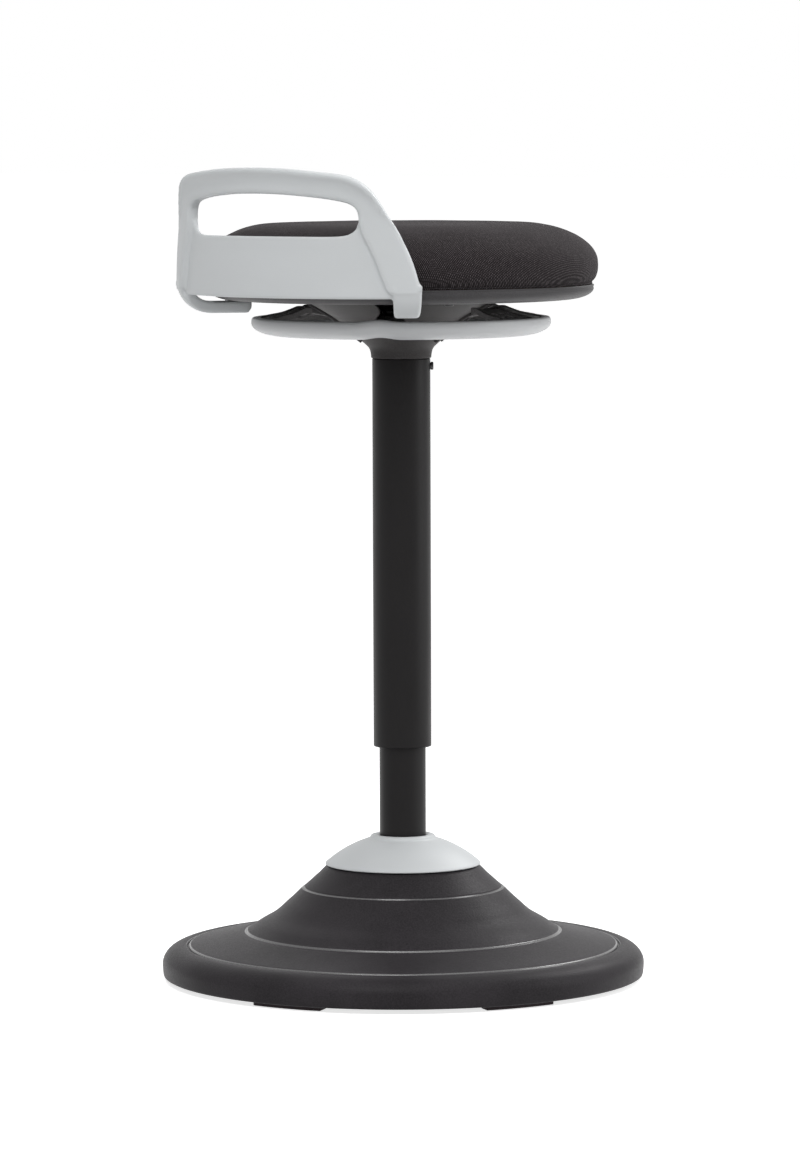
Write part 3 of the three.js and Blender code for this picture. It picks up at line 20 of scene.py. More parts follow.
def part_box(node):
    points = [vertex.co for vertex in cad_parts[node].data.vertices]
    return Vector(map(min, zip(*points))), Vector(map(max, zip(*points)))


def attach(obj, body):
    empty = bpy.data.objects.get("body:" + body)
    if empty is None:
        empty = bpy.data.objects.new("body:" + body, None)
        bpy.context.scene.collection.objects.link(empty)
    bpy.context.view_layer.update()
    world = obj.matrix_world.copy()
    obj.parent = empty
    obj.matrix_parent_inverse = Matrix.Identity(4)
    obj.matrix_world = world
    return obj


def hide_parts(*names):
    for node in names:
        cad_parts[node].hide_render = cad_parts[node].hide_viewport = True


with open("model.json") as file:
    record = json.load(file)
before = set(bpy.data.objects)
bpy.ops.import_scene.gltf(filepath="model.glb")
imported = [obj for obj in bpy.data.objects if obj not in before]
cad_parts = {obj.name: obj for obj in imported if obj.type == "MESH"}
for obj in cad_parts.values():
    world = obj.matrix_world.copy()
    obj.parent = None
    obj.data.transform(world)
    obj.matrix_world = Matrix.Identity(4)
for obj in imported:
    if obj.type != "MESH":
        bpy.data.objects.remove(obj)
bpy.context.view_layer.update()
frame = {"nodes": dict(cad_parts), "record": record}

Piece = bpy.types.Object
Pair = tuple[float, float]
Place = tuple[float, float, float]
Socket = bpy.types.NodeSocket

LOG = logging.getLogger("stool")
MM = 0.001

# Angles round the column, in degrees
REAR = 90.0
CAMERA_SIDE = 130.0
ARM_SIDE = 30.0
LEVER_SIDE = 310.0
SCREW_SIDE = 220.0

# Lengths in millimetres: the height of the ball that the dome slides on, and the gap at a joint
PIVOT = 26.2
SEAM = 0.3


class Body(Enum):
    """The moving bodies that pieces ride on."""

    BASE = "base"
    COLUMN = "column"
    SEAT = "seat"
    RING = "ring"


class Slot(Enum):
    """The record's material slots."""

    DARK_PLASTIC = "dark_plastic"
    BLACK_PLASTIC = "black_plastic"
    GREY_PLASTIC = "grey_plastic"
    BLACK_STEEL = "black_steel"
    BARE_STEEL = "bare_steel"
    CAST_IRON = "cast_iron"
    BEARING_BUSH = "bearing_bush"
    RUBBER = "rubber"
    BOARD = "board"
    KNIT_FABRIC = "knit_fabric"


class Cut(Enum):
    """What a cutter does to a piece."""

    TAKE_AWAY = "DIFFERENCE"
    KEEP = "INTERSECT"


# Small helpers for places and outlines


def polar(radius: float, angle: float, height: float) -> Place:
    """A place in metres from a radius and height in millimetres and an angle in degrees."""
    turn = math.radians(angle)
    return (radius * MM * math.cos(turn), radius * MM * math.sin(turn), height * MM)


def metres(*lengths: float) -> Place:
    """A place in metres from lengths in millimetres."""
    return tuple(length * MM for length in lengths)


def stepped(corner: Pair, steps: Sequence[Pair]) -> list[Pair]:
    """The points that lie at the given steps, across and up, from one corner."""
    return [(corner[0] + across, corner[1] + up) for across, up in steps]


def between(start: Pair, end: Pair, shares: Sequence[Pair]) -> list[Pair]:
    """The points at the given shares of the way across and up from one corner to another."""
    width, height = end[0] - start[0], end[1] - start[1]
    return [(start[0] + width * run, start[1] + height * rise) for run, rise in shares]


def mirrored(right: Sequence[Pair]) -> list[Pair]:
    """An outline from the middle to the right, with its mirror image put before it."""
    return [*[(-across, up) for across, up in reversed(right[1:])], *right]


def rounded(outline: Sequence[Pair], parts: int) -> list[Pair]:
    """Draws a smooth curve through the points of an open outline.

    Args:
        outline: The points to pass through.
        parts: How many pieces each run is split into.

    Returns:
        The points of the curve, with the given points among them.
    """
    points = [outline[0], *outline, outline[-1]]
    curve: list[Pair] = []
    for before, start, end, after in zip(points, points[1:], points[2:], points[3:]):
        for i in range(parts):
            t = i / parts
            curve.append(tuple(
                0.5 * (2 * b + (c - a) * t + (2 * a - 5 * b + 4 * c - d) * t ** 2
                       + (3 * b - a - 3 * c + d) * t ** 3)
                for a, b, c, d in zip(before, start, end, after)))
    return [*curve, tuple(outline[-1])]


def arc(centre: Pair, radius: Pair, start: float, end: float, parts: int) -> list[Pair]:
    """Points on a round or oval arc.

    Args:
        centre: The middle of the arc.
        radius: The half widths of the oval, across and up.
        start: First angle in degrees.
        end: Last angle in degrees.
        parts: How many runs the arc has.

    Returns:
        The points, both ends included.
    """
    angles = [math.radians(start + (end - start) * i / parts) for i in range(parts + 1)]
    return [(centre[0] + radius[0] * math.cos(a), centre[1] + radius[1] * math.sin(a)) for a in angles]


def inset(outline: Sequence[Pair], depth: float) -> list[Pair]:
    """Moves a closed outline, drawn anticlockwise, inwards by a small depth.

    Args:
        outline: The corners of the outline.
        depth: How far each side moves.

    Returns:
        As many corners as the outline has.
    """
    moved: list[Pair] = []
    count = len(outline)
    for i, point in enumerate(outline):
        before, after = outline[i - 1], outline[(i + 1) % count]
        first = Vector((point[0] - before[0], point[1] - before[1])).normalized()
        second = Vector((after[0] - point[0], after[1] - point[1])).normalized()
        normal = Vector((-first.y - second.y, first.x + second.x))
        scale = depth / max(normal.length_squared / 2, 0.35)
        moved.append((point[0] + normal.x * scale, point[1] + normal.y * scale))
    return moved


# Bench work on meshes


def select_only(piece: Piece) -> None:
    """Deselects everything, then selects one piece and makes it active."""
    if bpy.context.object and bpy.context.object.mode != "OBJECT":
        bpy.ops.object.mode_set(mode="OBJECT")
    bpy.ops.object.select_all(action="DESELECT")
    piece.select_set(True)
    bpy.context.view_layer.objects.active = piece


@contextmanager
def editing(piece: Piece) -> Iterator[bmesh.types.BMesh]:
    """Opens a piece in edit mode with all of it selected, and leaves edit mode after."""
    select_only(piece)
    bpy.ops.object.mode_set(mode="EDIT")
    bpy.ops.mesh.select_mode(type="VERT")
    bpy.ops.mesh.select_all(action="SELECT")
    yield bmesh.from_edit_mesh(piece.data)
    bpy.ops.object.mode_set(mode="OBJECT")


def face_out(piece: Piece, merge: float = 0.000002) -> None:
    """Merges doubled vertices, then turns every face outwards."""
    with editing(piece):
        bpy.ops.mesh.remove_doubles(threshold=merge)
        bpy.ops.mesh.normals_make_consistent(inside=False)


def smooth(piece: Piece, angle: float = 32.0) -> Piece:
    """Shades a piece smooth where its faces meet at less than an angle."""
    select_only(piece)
    bpy.ops.object.shade_smooth_by_angle(angle=math.radians(angle))
    return piece


def apply(piece: Piece, kind: str, **settings: object) -> Piece:
    """Adds a modifier, sets it up and applies it.

    Args:
        piece: The piece to change.
        kind: Blender's name of the modifier type.
        **settings: The modifier's own settings.

    Returns:
        The same piece.
    """
    modifier = piece.modifiers.new(kind.lower(), kind)
    for key, value in settings.items():
        setattr(modifier, key, value)
    select_only(piece)
    bpy.ops.object.modifier_apply(modifier=modifier.name)
    return piece


def boolean(piece: Piece, tool: Piece, how: Cut = Cut.TAKE_AWAY) -> Piece:
    """Cuts a piece with a tool, or keeps what the two share, and throws the tool away."""
    apply(piece, "BOOLEAN", object=tool, operation=how.value, solver="EXACT")
    bpy.data.objects.remove(tool)
    return piece


def joined(name: str, pieces: Sequence[Piece]) -> Piece:
    """Makes one object of several.

    Args:
        name: The name of the result.
        pieces: The objects, of which the first takes in the rest.

    Returns:
        The one object.
    """
    select_only(pieces[0])
    for piece in pieces[1:]:
        piece.select_set(True)
    bpy.ops.object.join()
    pieces[0].name = name
    return pieces[0]


def moved(piece: Piece, change: Matrix) -> Piece:
    """Turns or shifts the mesh of a piece, so that its object stays at the origin."""
    piece.data.transform(change)
    piece.data.update()
    return piece


def turned_to(piece: Piece, angle: float) -> Piece:
    """Turns a piece about the column by an angle in degrees."""
    return moved(piece, Matrix.Rotation(math.radians(angle), 4, "Z"))


def copied(piece: Piece, name: str) -> Piece:
    """A copy of a piece with its own mesh."""
    double = piece.copy()
    double.data = piece.data.copy()
    double.name = name
    bpy.context.scene.collection.objects.link(double)
    return double


def vertex_loop(name: str, places: Sequence[Place]) -> Piece:
    """A filled loop that starts as a circle and takes the given places."""
    bpy.ops.mesh.primitive_circle_add(vertices=len(places), radius=1, fill_type="NGON")
    piece = bpy.context.object
    piece.name = name
    for vertex, place in zip(piece.data.vertices, places):
        vertex.co = place
    return piece


def swept(name: str, sections: Sequence[Sequence[Place]]) -> Piece:
    """A solid that is extruded from section to section.

    Args:
        name: The name of the new piece.
        sections: Loops of places in metres, all of the same length.

    Returns:
        The closed solid, with its faces outwards.
    """
    piece = vertex_loop(name, sections[0])
    with editing(piece):
        last = [Vector(place) for place in sections[0]]
        for section in sections[1:]:
            bpy.ops.mesh.extrude_region()
            mesh = bmesh.from_edit_mesh(piece.data)
            rank = {tuple(round(c, 7) for c in place): i for i, place in enumerate(last)}
            fresh = [vertex for vertex in mesh.verts if vertex.select]
            order = [rank[tuple(round(c, 7) for c in vertex.co)] for vertex in fresh]
            for vertex, i in zip(fresh, order):
                vertex.co = section[i]
            last = [Vector((0, 0, 0))] * len(section)
            for vertex, i in zip(fresh, order):
                last[i] = vertex.co.copy()
            bmesh.update_edit_mesh(piece.data)
        bpy.ops.mesh.select_all(action="SELECT")
        bpy.ops.mesh.normals_make_consistent(inside=False)
    return piece


def turned(name: str, profile: Sequence[Pair], steps: int = 128, closed: bool = True,
           sweep: float = 360.0, start: float = 0.0) -> Piece:
    """A shape turned about the column, from a profile drawn point by point.

    Args:
        name: The name of the new piece.
        profile: Radius and height of each point, in millimetres.
        steps: Facets in the whole sweep.
        closed: Whether the last point joins the first.
        sweep: The angle turned through, in degrees.
        start: The angle at which the sweep starts.

    Returns:
        The turned piece, with its faces outwards.
    """
    bpy.ops.mesh.primitive_plane_add(size=0.001)
    piece = bpy.context.object
    piece.name = name
    turn = math.radians(start)
    closed = closed and max(profile[0][0], profile[-1][0]) > 0
    with editing(piece):
        bpy.ops.mesh.merge(type="CENTER")
        mesh = bmesh.from_edit_mesh(piece.data)
        mesh.verts.ensure_lookup_table()
        mesh.verts[0].co = polar(profile[0][0], start, profile[0][1])
        for (radius, height), (far, high) in zip(profile, profile[1:]):
            run = (far - radius) * MM
            step = (run * math.cos(turn), run * math.sin(turn), (high - height) * MM)
            bpy.ops.mesh.extrude_region_move(TRANSFORM_OT_translate={"value": step})
        if closed:
            mesh = bmesh.from_edit_mesh(piece.data)
            for vertex in mesh.verts:
                vertex.select_set(len(vertex.link_edges) < 2)
            mesh.select_flush(True)
            bpy.ops.mesh.edge_face_add()
        bpy.ops.mesh.select_all(action="SELECT")
        bpy.ops.mesh.spin(steps=steps, angle=-math.radians(sweep), center=(0, 0, 0), axis=(0, 0, 1))
    if closed and sweep < 360:
        close_ends(piece, (start, start + sweep))
    face_out(piece)
    return piece


def close_ends(piece: Piece, angles: Sequence[float]) -> None:
    """Fills the two open ends of a part turn, at the given angles in degrees."""
    for angle in angles:
        across = Vector((-math.sin(math.radians(angle)), math.cos(math.radians(angle)), 0))
        with editing(piece) as mesh:
            for vertex in mesh.verts:
                vertex.select_set(abs(vertex.co.dot(across)) < 2e-6 and vertex.is_boundary)
            mesh.select_flush(True)
            bpy.ops.mesh.edge_face_add()


def soften(piece: Piece, width: float, parts: int = 2, angle: float = 40.0) -> Piece:
    """Rounds the sharp edges of a piece by a width in millimetres."""
    return apply(piece, "BEVEL", width=width * MM, segments=parts, limit_method="ANGLE",
                 angle_limit=math.radians(angle), harden_normals=False)


def block(name: str, low: Place, high: Place, angle: float = 0.0, edge: float = 0.0) -> Piece:
    """A block with rounded edges.

    Args:
        name: The name of the new piece.
        low: Its lowest corner in millimetres, before it is turned.
        high: Its highest corner.
        angle: The turn about the column, in degrees.
        edge: The rounding of its edges.

    Returns:
        The block.
    """
    middle = tuple((a + b) / 2 * MM for a, b in zip(low, high))
    size = tuple((b - a) * MM for a, b in zip(low, high))
    bpy.ops.mesh.primitive_cube_add(size=1, location=middle, scale=size)
    piece = bpy.context.object
    piece.name = name
    bpy.ops.object.select_all(action="DESELECT")
    select_only(piece)
    bpy.ops.object.transform_apply(location=True, rotation=True, scale=True)
    if edge:
        with editing(piece):
            bpy.ops.mesh.bevel(offset=edge * MM, segments=3, affect="EDGES")
    return turned_to(piece, angle)


def rod(name: str, radius: float, start: Place, end: Place, edge: float = 0.0, sides: int = 32) -> Piece:
    """A round bar between two places.

    Args:
        name: The name of the new piece.
        radius: Its radius in millimetres.
        start: One end, in metres.
        end: The other end.
        edge: The rounding of its end edges in millimetres.
        sides: Facets round the bar.

    Returns:
        The bar.
    """
    line = Vector(end) - Vector(start)
    bpy.ops.mesh.primitive_cylinder_add(vertices=sides, radius=radius * MM, depth=line.length)
    piece = bpy.context.object
    piece.name = name
    if edge:
        soften(piece, edge)
    middle = (Vector(end) + Vector(start)) / 2
    turn = line.to_track_quat("Z", "Y").to_matrix().to_4x4()
    return moved(piece, Matrix.Translation(middle) @ turn)


# Finishes


class Graph:
    """A material's node tree while a finish fills it in."""

    def __init__(self, name: str) -> None:
        """Starts an empty material around the standard shader."""
        self.material = bpy.data.materials.new(name)
        self.material.use_nodes = True
        self.nodes = self.material.node_tree.nodes
        self.links = self.material.node_tree.links
        self.shader = next(node for node in self.nodes if node.type == "BSDF_PRINCIPLED")

    def add(self, kind: str, inputs: dict[str | int, object] | None = None,
            **settings: object) -> bpy.types.Node:
        """Adds a node, sets it up, and links or sets its inputs.

        Args:
            kind: Blender's name of the node type.
            inputs: A socket to link or a value to set, by input name or number.
            **settings: The node's own settings.

        Returns:
            The node.
        """
        node = self.nodes.new(kind)
        for key, value in settings.items():
            setattr(node, key, value)
        for key, value in (inputs or {}).items():
            if isinstance(value, bpy.types.NodeSocket):
                self.links.new(value, node.inputs[key])
            else:
                node.inputs[key].default_value = value
        return node

    def place(self, stretch: Place = (1, 1, 1)) -> Socket:
        """The place on the object in metres, stretched by a mapping."""
        source = self.add("ShaderNodeTexCoord").outputs["Object"]
        return self.add("ShaderNodeMapping", {"Vector": source, "Scale": stretch}).outputs[0]

    def noise(self, at: Socket, scale: float, detail: float = 2.0, rough: float = 0.5) -> Socket:
        """Soft noise with so many waves in a metre."""
        return self.add("ShaderNodeTexNoise", {"Vector": at, "Scale": scale, "Detail": detail,
                                               "Roughness": rough}).outputs[0]

    def sums(self, operation: str, first: object, second: object = 0.0) -> Socket:
        """One step of arithmetic."""
        return self.add("ShaderNodeMath", {0: first, 1: second}, operation=operation).outputs[0]

    def span(self, value: Socket, low: float, high: float, start: float = 0.0, end: float = 1.0) -> Socket:
        """Stretches the part of a value between low and high over start to end."""
        return self.add("ShaderNodeMapRange", {0: value, 1: low, 2: high, 3: start, 4: end}).outputs[0]

    def blend(self, share: Socket, first: Place, second: Place) -> Socket:
        """A colour between two by a share."""
        node = self.add("ShaderNodeMix", {0: share}, data_type="RGBA")
        node.inputs[6].default_value = (*first, 1)
        node.inputs[7].default_value = (*second, 1)
        return node.outputs[2]

    def bump(self, height: Socket, depth: float, under: Socket | None = None) -> Socket:
        """Raises the surface by a height times a depth in millimetres."""
        inputs: dict[str | int, object] = {"Height": height, "Distance": depth * MM, "Strength": 1.0}
        if under is not None:
            inputs["Normal"] = under
        return self.add("ShaderNodeBump", inputs).outputs[0]

    def wire(self, **sockets: object) -> None:
        """Links or sets inputs of the shader, named with _ for a space."""
        for key, value in sockets.items():
            name = key.replace("_", " ")
            if isinstance(value, bpy.types.NodeSocket):
                self.links.new(value, self.shader.inputs[name])
            else:
                self.shader.inputs[name].default_value = value


MADE: dict["Finish", bpy.types.Material] = {}


@dataclass(frozen=True)
class Finish:
    """What all finishes share: a name and a base colour in linear light."""

    name: str
    colour: Place

    def paint(self, graph: Graph) -> None:
        """Fills in the node tree."""
        raise NotImplementedError

    def material(self) -> bpy.types.Material:
        """The finish as a material, which is made once."""
        if self not in MADE:
            graph = Graph(self.name)
            self.paint(graph)
            MADE[self] = graph.material
        return MADE[self]

    def shade(self, factor: float) -> Place:
        """The base colour times a factor."""
        return tuple(min(1.0, channel * factor) for channel in self.colour)


@dataclass(frozen=True)
class MouldedPlastic(Finish):
    """Injection-moulded plastic with a fine grain."""

    gloss: float = 0.45
    grain: float = 0.05
    pitch: float = 900.0
    cloud: float = 0.12
    shine: float = 0.3

    def paint(self, graph: Graph) -> None:
        """A grained surface whose colour and gloss drift a little."""
        at = graph.place()
        drift = graph.span(graph.noise(at, 14.0, 3.0), 0.3, 0.7)
        fleck = graph.span(graph.noise(at, self.pitch * 1.7, 1.0), 0.35, 0.65)
        both = graph.sums("ADD", graph.sums("MULTIPLY", drift, 0.6), graph.sums("MULTIPLY", fleck, 0.4))
        graph.wire(Base_Color=graph.blend(both, self.shade(1 - self.cloud), self.shade(1 + self.cloud)))
        graph.wire(Roughness=graph.span(fleck, 0.0, 1.0, self.gloss - 0.05, self.gloss + 0.07))
        coarse = graph.bump(graph.noise(at, self.pitch, 2.0, 0.6), self.grain)
        graph.wire(Normal=graph.bump(graph.noise(at, self.pitch * 2.6, 1.0), self.grain * 0.5, coarse))
        graph.wire(Specular_IOR_Level=self.shine)


@dataclass(frozen=True)
class SatinPlastic(Finish):
    """Light plastic with a silky, nearly even face."""

    gloss: float = 0.42
    texture: float = 0.012

    def paint(self, graph: Graph) -> None:
        """An even face with faint flow marks and a very fine texture."""
        at = graph.place()
        flow = graph.span(graph.noise(graph.place((1, 1, 2.5)), 9.0, 3.0), 0.3, 0.7)
        speck = graph.span(graph.noise(at, 1500.0, 1.0), 0.3, 0.7)
        both = graph.sums("ADD", graph.sums("MULTIPLY", flow, 0.7), graph.sums("MULTIPLY", speck, 0.3))
        graph.wire(Base_Color=graph.blend(both, self.shade(0.965), self.shade(1.025)))
        graph.wire(Roughness=graph.span(flow, 0.0, 1.0, self.gloss - 0.04, self.gloss + 0.05))
        graph.wire(Normal=graph.bump(graph.noise(at, 1900.0, 2.0), self.texture))
        graph.wire(Specular_IOR_Level=0.5)


@dataclass(frozen=True)
class PowderCoat(Finish):
    """Black powder coat on steel tube, with its orange-peel texture."""

    gloss: float = 0.42
    peel: float = 0.03
    shine: float = 0.3

    def paint(self, graph: Graph) -> None:
        """A fine peel over a deep colour, a little dustier in places."""
        at = graph.place()
        dust = graph.span(graph.noise(graph.place((1, 1, 0.35)), 30.0, 4.0), 0.35, 0.75)
        graph.wire(Base_Color=graph.blend(dust, self.shade(0.9), self.shade(1.15)))
        graph.wire(Roughness=graph.span(dust, 0.0, 1.0, self.gloss - 0.04, self.gloss + 0.08))
        peel = graph.bump(graph.noise(at, 620.0, 2.0, 0.6), self.peel)
        graph.wire(Normal=graph.bump(graph.noise(at, 2200.0, 1.0), self.peel * 0.4, peel))
        graph.wire(Specular_IOR_Level=self.shine)


@dataclass(frozen=True)
class Metal(Finish):
    """Bare metal, drawn, turned or cast."""

    gloss: float = 0.3
    drag: Place = (1.0, 1.0, 1.0)
    pitch: float = 700.0
    relief: float = 0.02
    pure: float = 1.0

    def paint(self, graph: Graph) -> None:
        """Fine marks along one direction, with duller patches."""
        marks = graph.noise(graph.place(self.drag), self.pitch, 3.0, 0.6)
        patch = graph.span(graph.noise(graph.place(), 60.0, 4.0), 0.35, 0.7)
        graph.wire(Base_Color=graph.blend(patch, self.shade(0.8), self.shade(1.08)))
        graph.wire(Roughness=graph.span(patch, 0.0, 1.0, self.gloss + 0.12, self.gloss - 0.03))
        graph.wire(Normal=graph.bump(marks, self.relief), Metallic=self.pure)


@dataclass(frozen=True)
class Rubber(Finish):
    """Dull rubber with a faint bloom."""

    def paint(self, graph: Graph) -> None:
        """A matt face with a soft mottle."""
        at = graph.place()
        bloom = graph.span(graph.noise(at, 45.0, 4.0), 0.35, 0.7)
        graph.wire(Base_Color=graph.blend(bloom, self.shade(0.85), self.shade(1.2)))
        graph.wire(Roughness=graph.span(bloom, 0.0, 1.0, 0.72, 0.86))
        graph.wire(Normal=graph.bump(graph.noise(at, 800.0, 3.0), 0.04), Specular_IOR_Level=0.35)


@dataclass(frozen=True)
class Plywood(Finish):
    """Birch plywood with long grain and thin edge layers."""

    def paint(self, graph: Graph) -> None:
        """Grain along one way, and layers seen on the edge."""
        grain = graph.noise(graph.place((90.0, 6.0, 20.0)), 2.0, 6.0, 0.65)
        height = graph.add("ShaderNodeSeparateXYZ", {0: graph.place()}).outputs[2]
        layers = graph.sums("SINE", graph.sums("MULTIPLY", height, 2 * math.pi / (1.2 * MM)))
        share = graph.sums("ADD", graph.span(grain, 0.3, 0.7, 0.0, 0.8), graph.sums("MULTIPLY", layers, 0.1))
        graph.wire(Base_Color=graph.blend(share, self.shade(0.72), self.shade(1.15)))
        graph.wire(Roughness=graph.span(grain, 0.0, 1.0, 0.6, 0.75), Normal=graph.bump(grain, 0.08))


@dataclass(frozen=True)
class KnitMesh(Finish):
    """Knitted mesh fabric: small pale dashes in slanting rows over a dark ground."""

    pitch: float = 2.1
    dash: Place = (0.15, 0.132, 0.137)
    relief: float = 0.28

    def weave(self, graph: Graph) -> Socket:
        """How much of a dash shows at a place, from 0 to 1, by the piece's own map."""
        source = graph.add("ShaderNodeUVMap", uv_map="weave").outputs[0]
        wander = graph.add("ShaderNodeTexNoise", {"Vector": source, "Scale": 260.0, "Detail": 1.0})
        lead = graph.add("ShaderNodeVectorMath", {0: wander.outputs[1], 1: (0.5, 0.5, 0.5)},
                         operation="SUBTRACT")
        sway = graph.add("ShaderNodeVectorMath", {0: lead.outputs[0], "Scale": 0.5 * self.pitch * MM},
                         operation="SCALE")
        at = graph.add("ShaderNodeVectorMath", {0: source, 1: sway.outputs[0]}, operation="ADD").outputs[0]
        parts = graph.add("ShaderNodeSeparateXYZ", {0: at}).outputs
        rate = 2 * math.pi / (self.pitch * MM)
        rows, cross = (
            graph.sums("SINE", graph.sums("MULTIPLY", graph.sums(way, parts[0], parts[1]), rate * share))
            for way, share in (("ADD", 0.72), ("SUBTRACT", 0.5)))
        return graph.span(graph.sums("MULTIPLY", rows, cross), 0.1, 0.8)

    def paint(self, graph: Graph) -> None:
        """Dashes of pale yarn, a mottled ground, relief and a soft sheen."""
        dashes = self.weave(graph)
        at = graph.place()
        worn = graph.span(graph.noise(at, 420.0, 3.0, 0.7), 0.35, 0.75)
        share = graph.sums("MULTIPLY", dashes, graph.span(worn, 0.0, 1.0, 0.25, 1.0))
        mottle = graph.span(graph.noise(at, 900.0, 2.0), 0.3, 0.7)
        ground = graph.blend(mottle, self.shade(0.8), self.shade(1.25))
        node = graph.add("ShaderNodeMix", {0: share, 6: ground}, data_type="RGBA")
        node.inputs[7].default_value = (*self.dash, 1)
        graph.wire(Base_Color=node.outputs[2], Roughness=0.92, Specular_IOR_Level=0.1)
        graph.wire(Sheen_Weight=0.09, Sheen_Roughness=0.35, Sheen_Tint=(0.75, 0.72, 0.74, 1))
        fuzz = graph.bump(graph.noise(at, 2400.0, 2.0), 0.1)
        graph.wire(Normal=graph.bump(dashes, self.relief, fuzz))


class Finishes(Enum):
    """Every finish on the stool."""

    COVER = MouldedPlastic("base_cover_plastic", (0.025, 0.0225, 0.025), 0.42, 0.16, 480.0, 0.4, 0.08)
    # Groove finish: glossier than the cover, with a colour twice as light that is painted highlight along the
    # grooves' lines.
    GROOVE = MouldedPlastic("groove_plastic_painted_highlight", (0.05, 0.048, 0.05), 0.24, 0.01, 1500.0, shine=1.0)
    CARRIER = MouldedPlastic("bracket_plastic", (0.05, 0.047, 0.047), 0.5, 0.07, 520.0, 0.3, 0.1)
    # Spider finish: the carrier's dark plastic painted lighter, as painted light on the fans that lie in the
    # pan's shade.
    SPIDER = MouldedPlastic("spider_plastic_painted_light", (0.13, 0.125, 0.125), 0.42, 0.07, 520.0, 0.3, 0.2)
    PAN = MouldedPlastic("pan_plastic", (0.05, 0.048, 0.05), 0.46, 0.07, 520.0, 0.3, 0.12)
    BUSH = MouldedPlastic("slide_bush_plastic", (0.02, 0.02, 0.021), 0.4, 0.02, 900.0)
    HANDLE = SatinPlastic("handle_plastic", (0.565, 0.585, 0.595), 0.45)
    RING = SatinPlastic("ring_plastic", (0.49, 0.5, 0.51), 0.42)
    DOME = SatinPlastic("dome_plastic", (0.56, 0.58, 0.59), 0.45)
    TUBE = PowderCoat("powder_coat", (0.0095, 0.0086, 0.009), peel=0.05, shine=0.14)
    PLATE = PowderCoat("plate_coat", (0.03, 0.03, 0.03), 0.5, 0.05)
    STEEL = Metal("plain_steel", (0.58, 0.58, 0.59), 0.3, (1.0, 1.0, 14.0))
    BLACKED = Metal("blacked_steel", (0.06, 0.058, 0.06), 0.35, pure=0.6)
    IRON = Metal("cast_iron", (0.11, 0.105, 0.1), 0.62, pitch=420.0, relief=0.25, pure=0.8)
    BEARING = MouldedPlastic("bearing_plastic", (0.72, 0.69, 0.61), 0.4, 0.01, 900.0, 0.04)
    PAD = Rubber("pad_rubber", (0.042, 0.032, 0.036))
    WOOD = Plywood("plywood", (0.48, 0.31, 0.16))
    FABRIC = KnitMesh("knit_mesh", (0.0145, 0.012, 0.0128))


SLOT_FINISH = {
    Slot.DARK_PLASTIC: Finishes.COVER, Slot.BLACK_PLASTIC: Finishes.BUSH, Slot.GREY_PLASTIC: Finishes.HANDLE,
    Slot.BLACK_STEEL: Finishes.TUBE, Slot.BARE_STEEL: Finishes.STEEL, Slot.CAST_IRON: Finishes.IRON,
    Slot.BEARING_BUSH: Finishes.BEARING, Slot.RUBBER: Finishes.PAD, Slot.BOARD: Finishes.WOOD,
    Slot.KNIT_FABRIC: Finishes.FABRIC,
}


def dress(piece: Piece, finish: Finishes, slot: Slot, body: Body, *nodes: str) -> Piece:
    """Gives a piece its finish and body, and hides the nodes that it stands for.

    Args:
        piece: The finished mesh.
        finish: Its material.
        slot: The record's slot for that material. Not used.
        body: What it rides on.
        *nodes: The CAD nodes that it replaces.

    Returns:
        The same piece.
    """
    piece.data.materials.clear()
    piece.data.materials.append(finish.value.material())
    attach(piece, body.value)
    if nodes:
        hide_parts(*nodes)
    LOG.info("%s: %d faces on %s", piece.name, len(piece.data.polygons), body.value)
    return piece


def low(node: str) -> float:
    """The lowest height of a node, in millimetres."""
    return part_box(node)[0].z / MM


def high(node: str) -> float:
    """The highest height of a node, in millimetres."""
    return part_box(node)[1].z / MM


def radius_of(node: str) -> float:
    """Half the width of a round node, in millimetres."""
    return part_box(node)[1].x / MM


# Studio


@dataclass(frozen=True)
class Lamp:
    """A large soft lamp, placed by an angle from the camera's side and aimed at the column."""

    name: str
    power: float
    size: Pair
    turn: float
    reach: float
    height: float
    aim: float

    def build(self) -> None:
        """Adds the lamp and turns it to the height that it is aimed at."""
        angle = math.radians(CAMERA_SIDE + self.turn)
        at = Vector((self.reach * math.cos(angle), self.reach * math.sin(angle), self.height))
        bpy.ops.object.light_add(type="AREA", location=at)
        lamp = bpy.context.object
        lamp.name = self.name
        lamp.data.shape = "RECTANGLE"
        lamp.data.size, lamp.data.size_y = self.size
        lamp.data.energy = self.power
        lamp.rotation_euler = (Vector((0, 0, self.aim)) - at).to_track_quat("-Z", "Y").to_euler()


LAMPS = (
    Lamp("overhead", 21, (2.4, 2.4), 0, 0.5, 2.6, 0.3),
    Lamp("high_front", 34, (1.6, 1.2), -14, 2.3, 2.5, 0.5),
    Lamp("right_softbox", 19, (1.0, 1.8), 82, 2.3, 1.1, 0.45),
    Lamp("right_rear", 13, (0.7, 0.7), 133, 1.7, 1.6, 0.15),
    Lamp("left_softbox", 1, (0.8, 1.8), -80, 2.4, 1.0, 0.4),
)


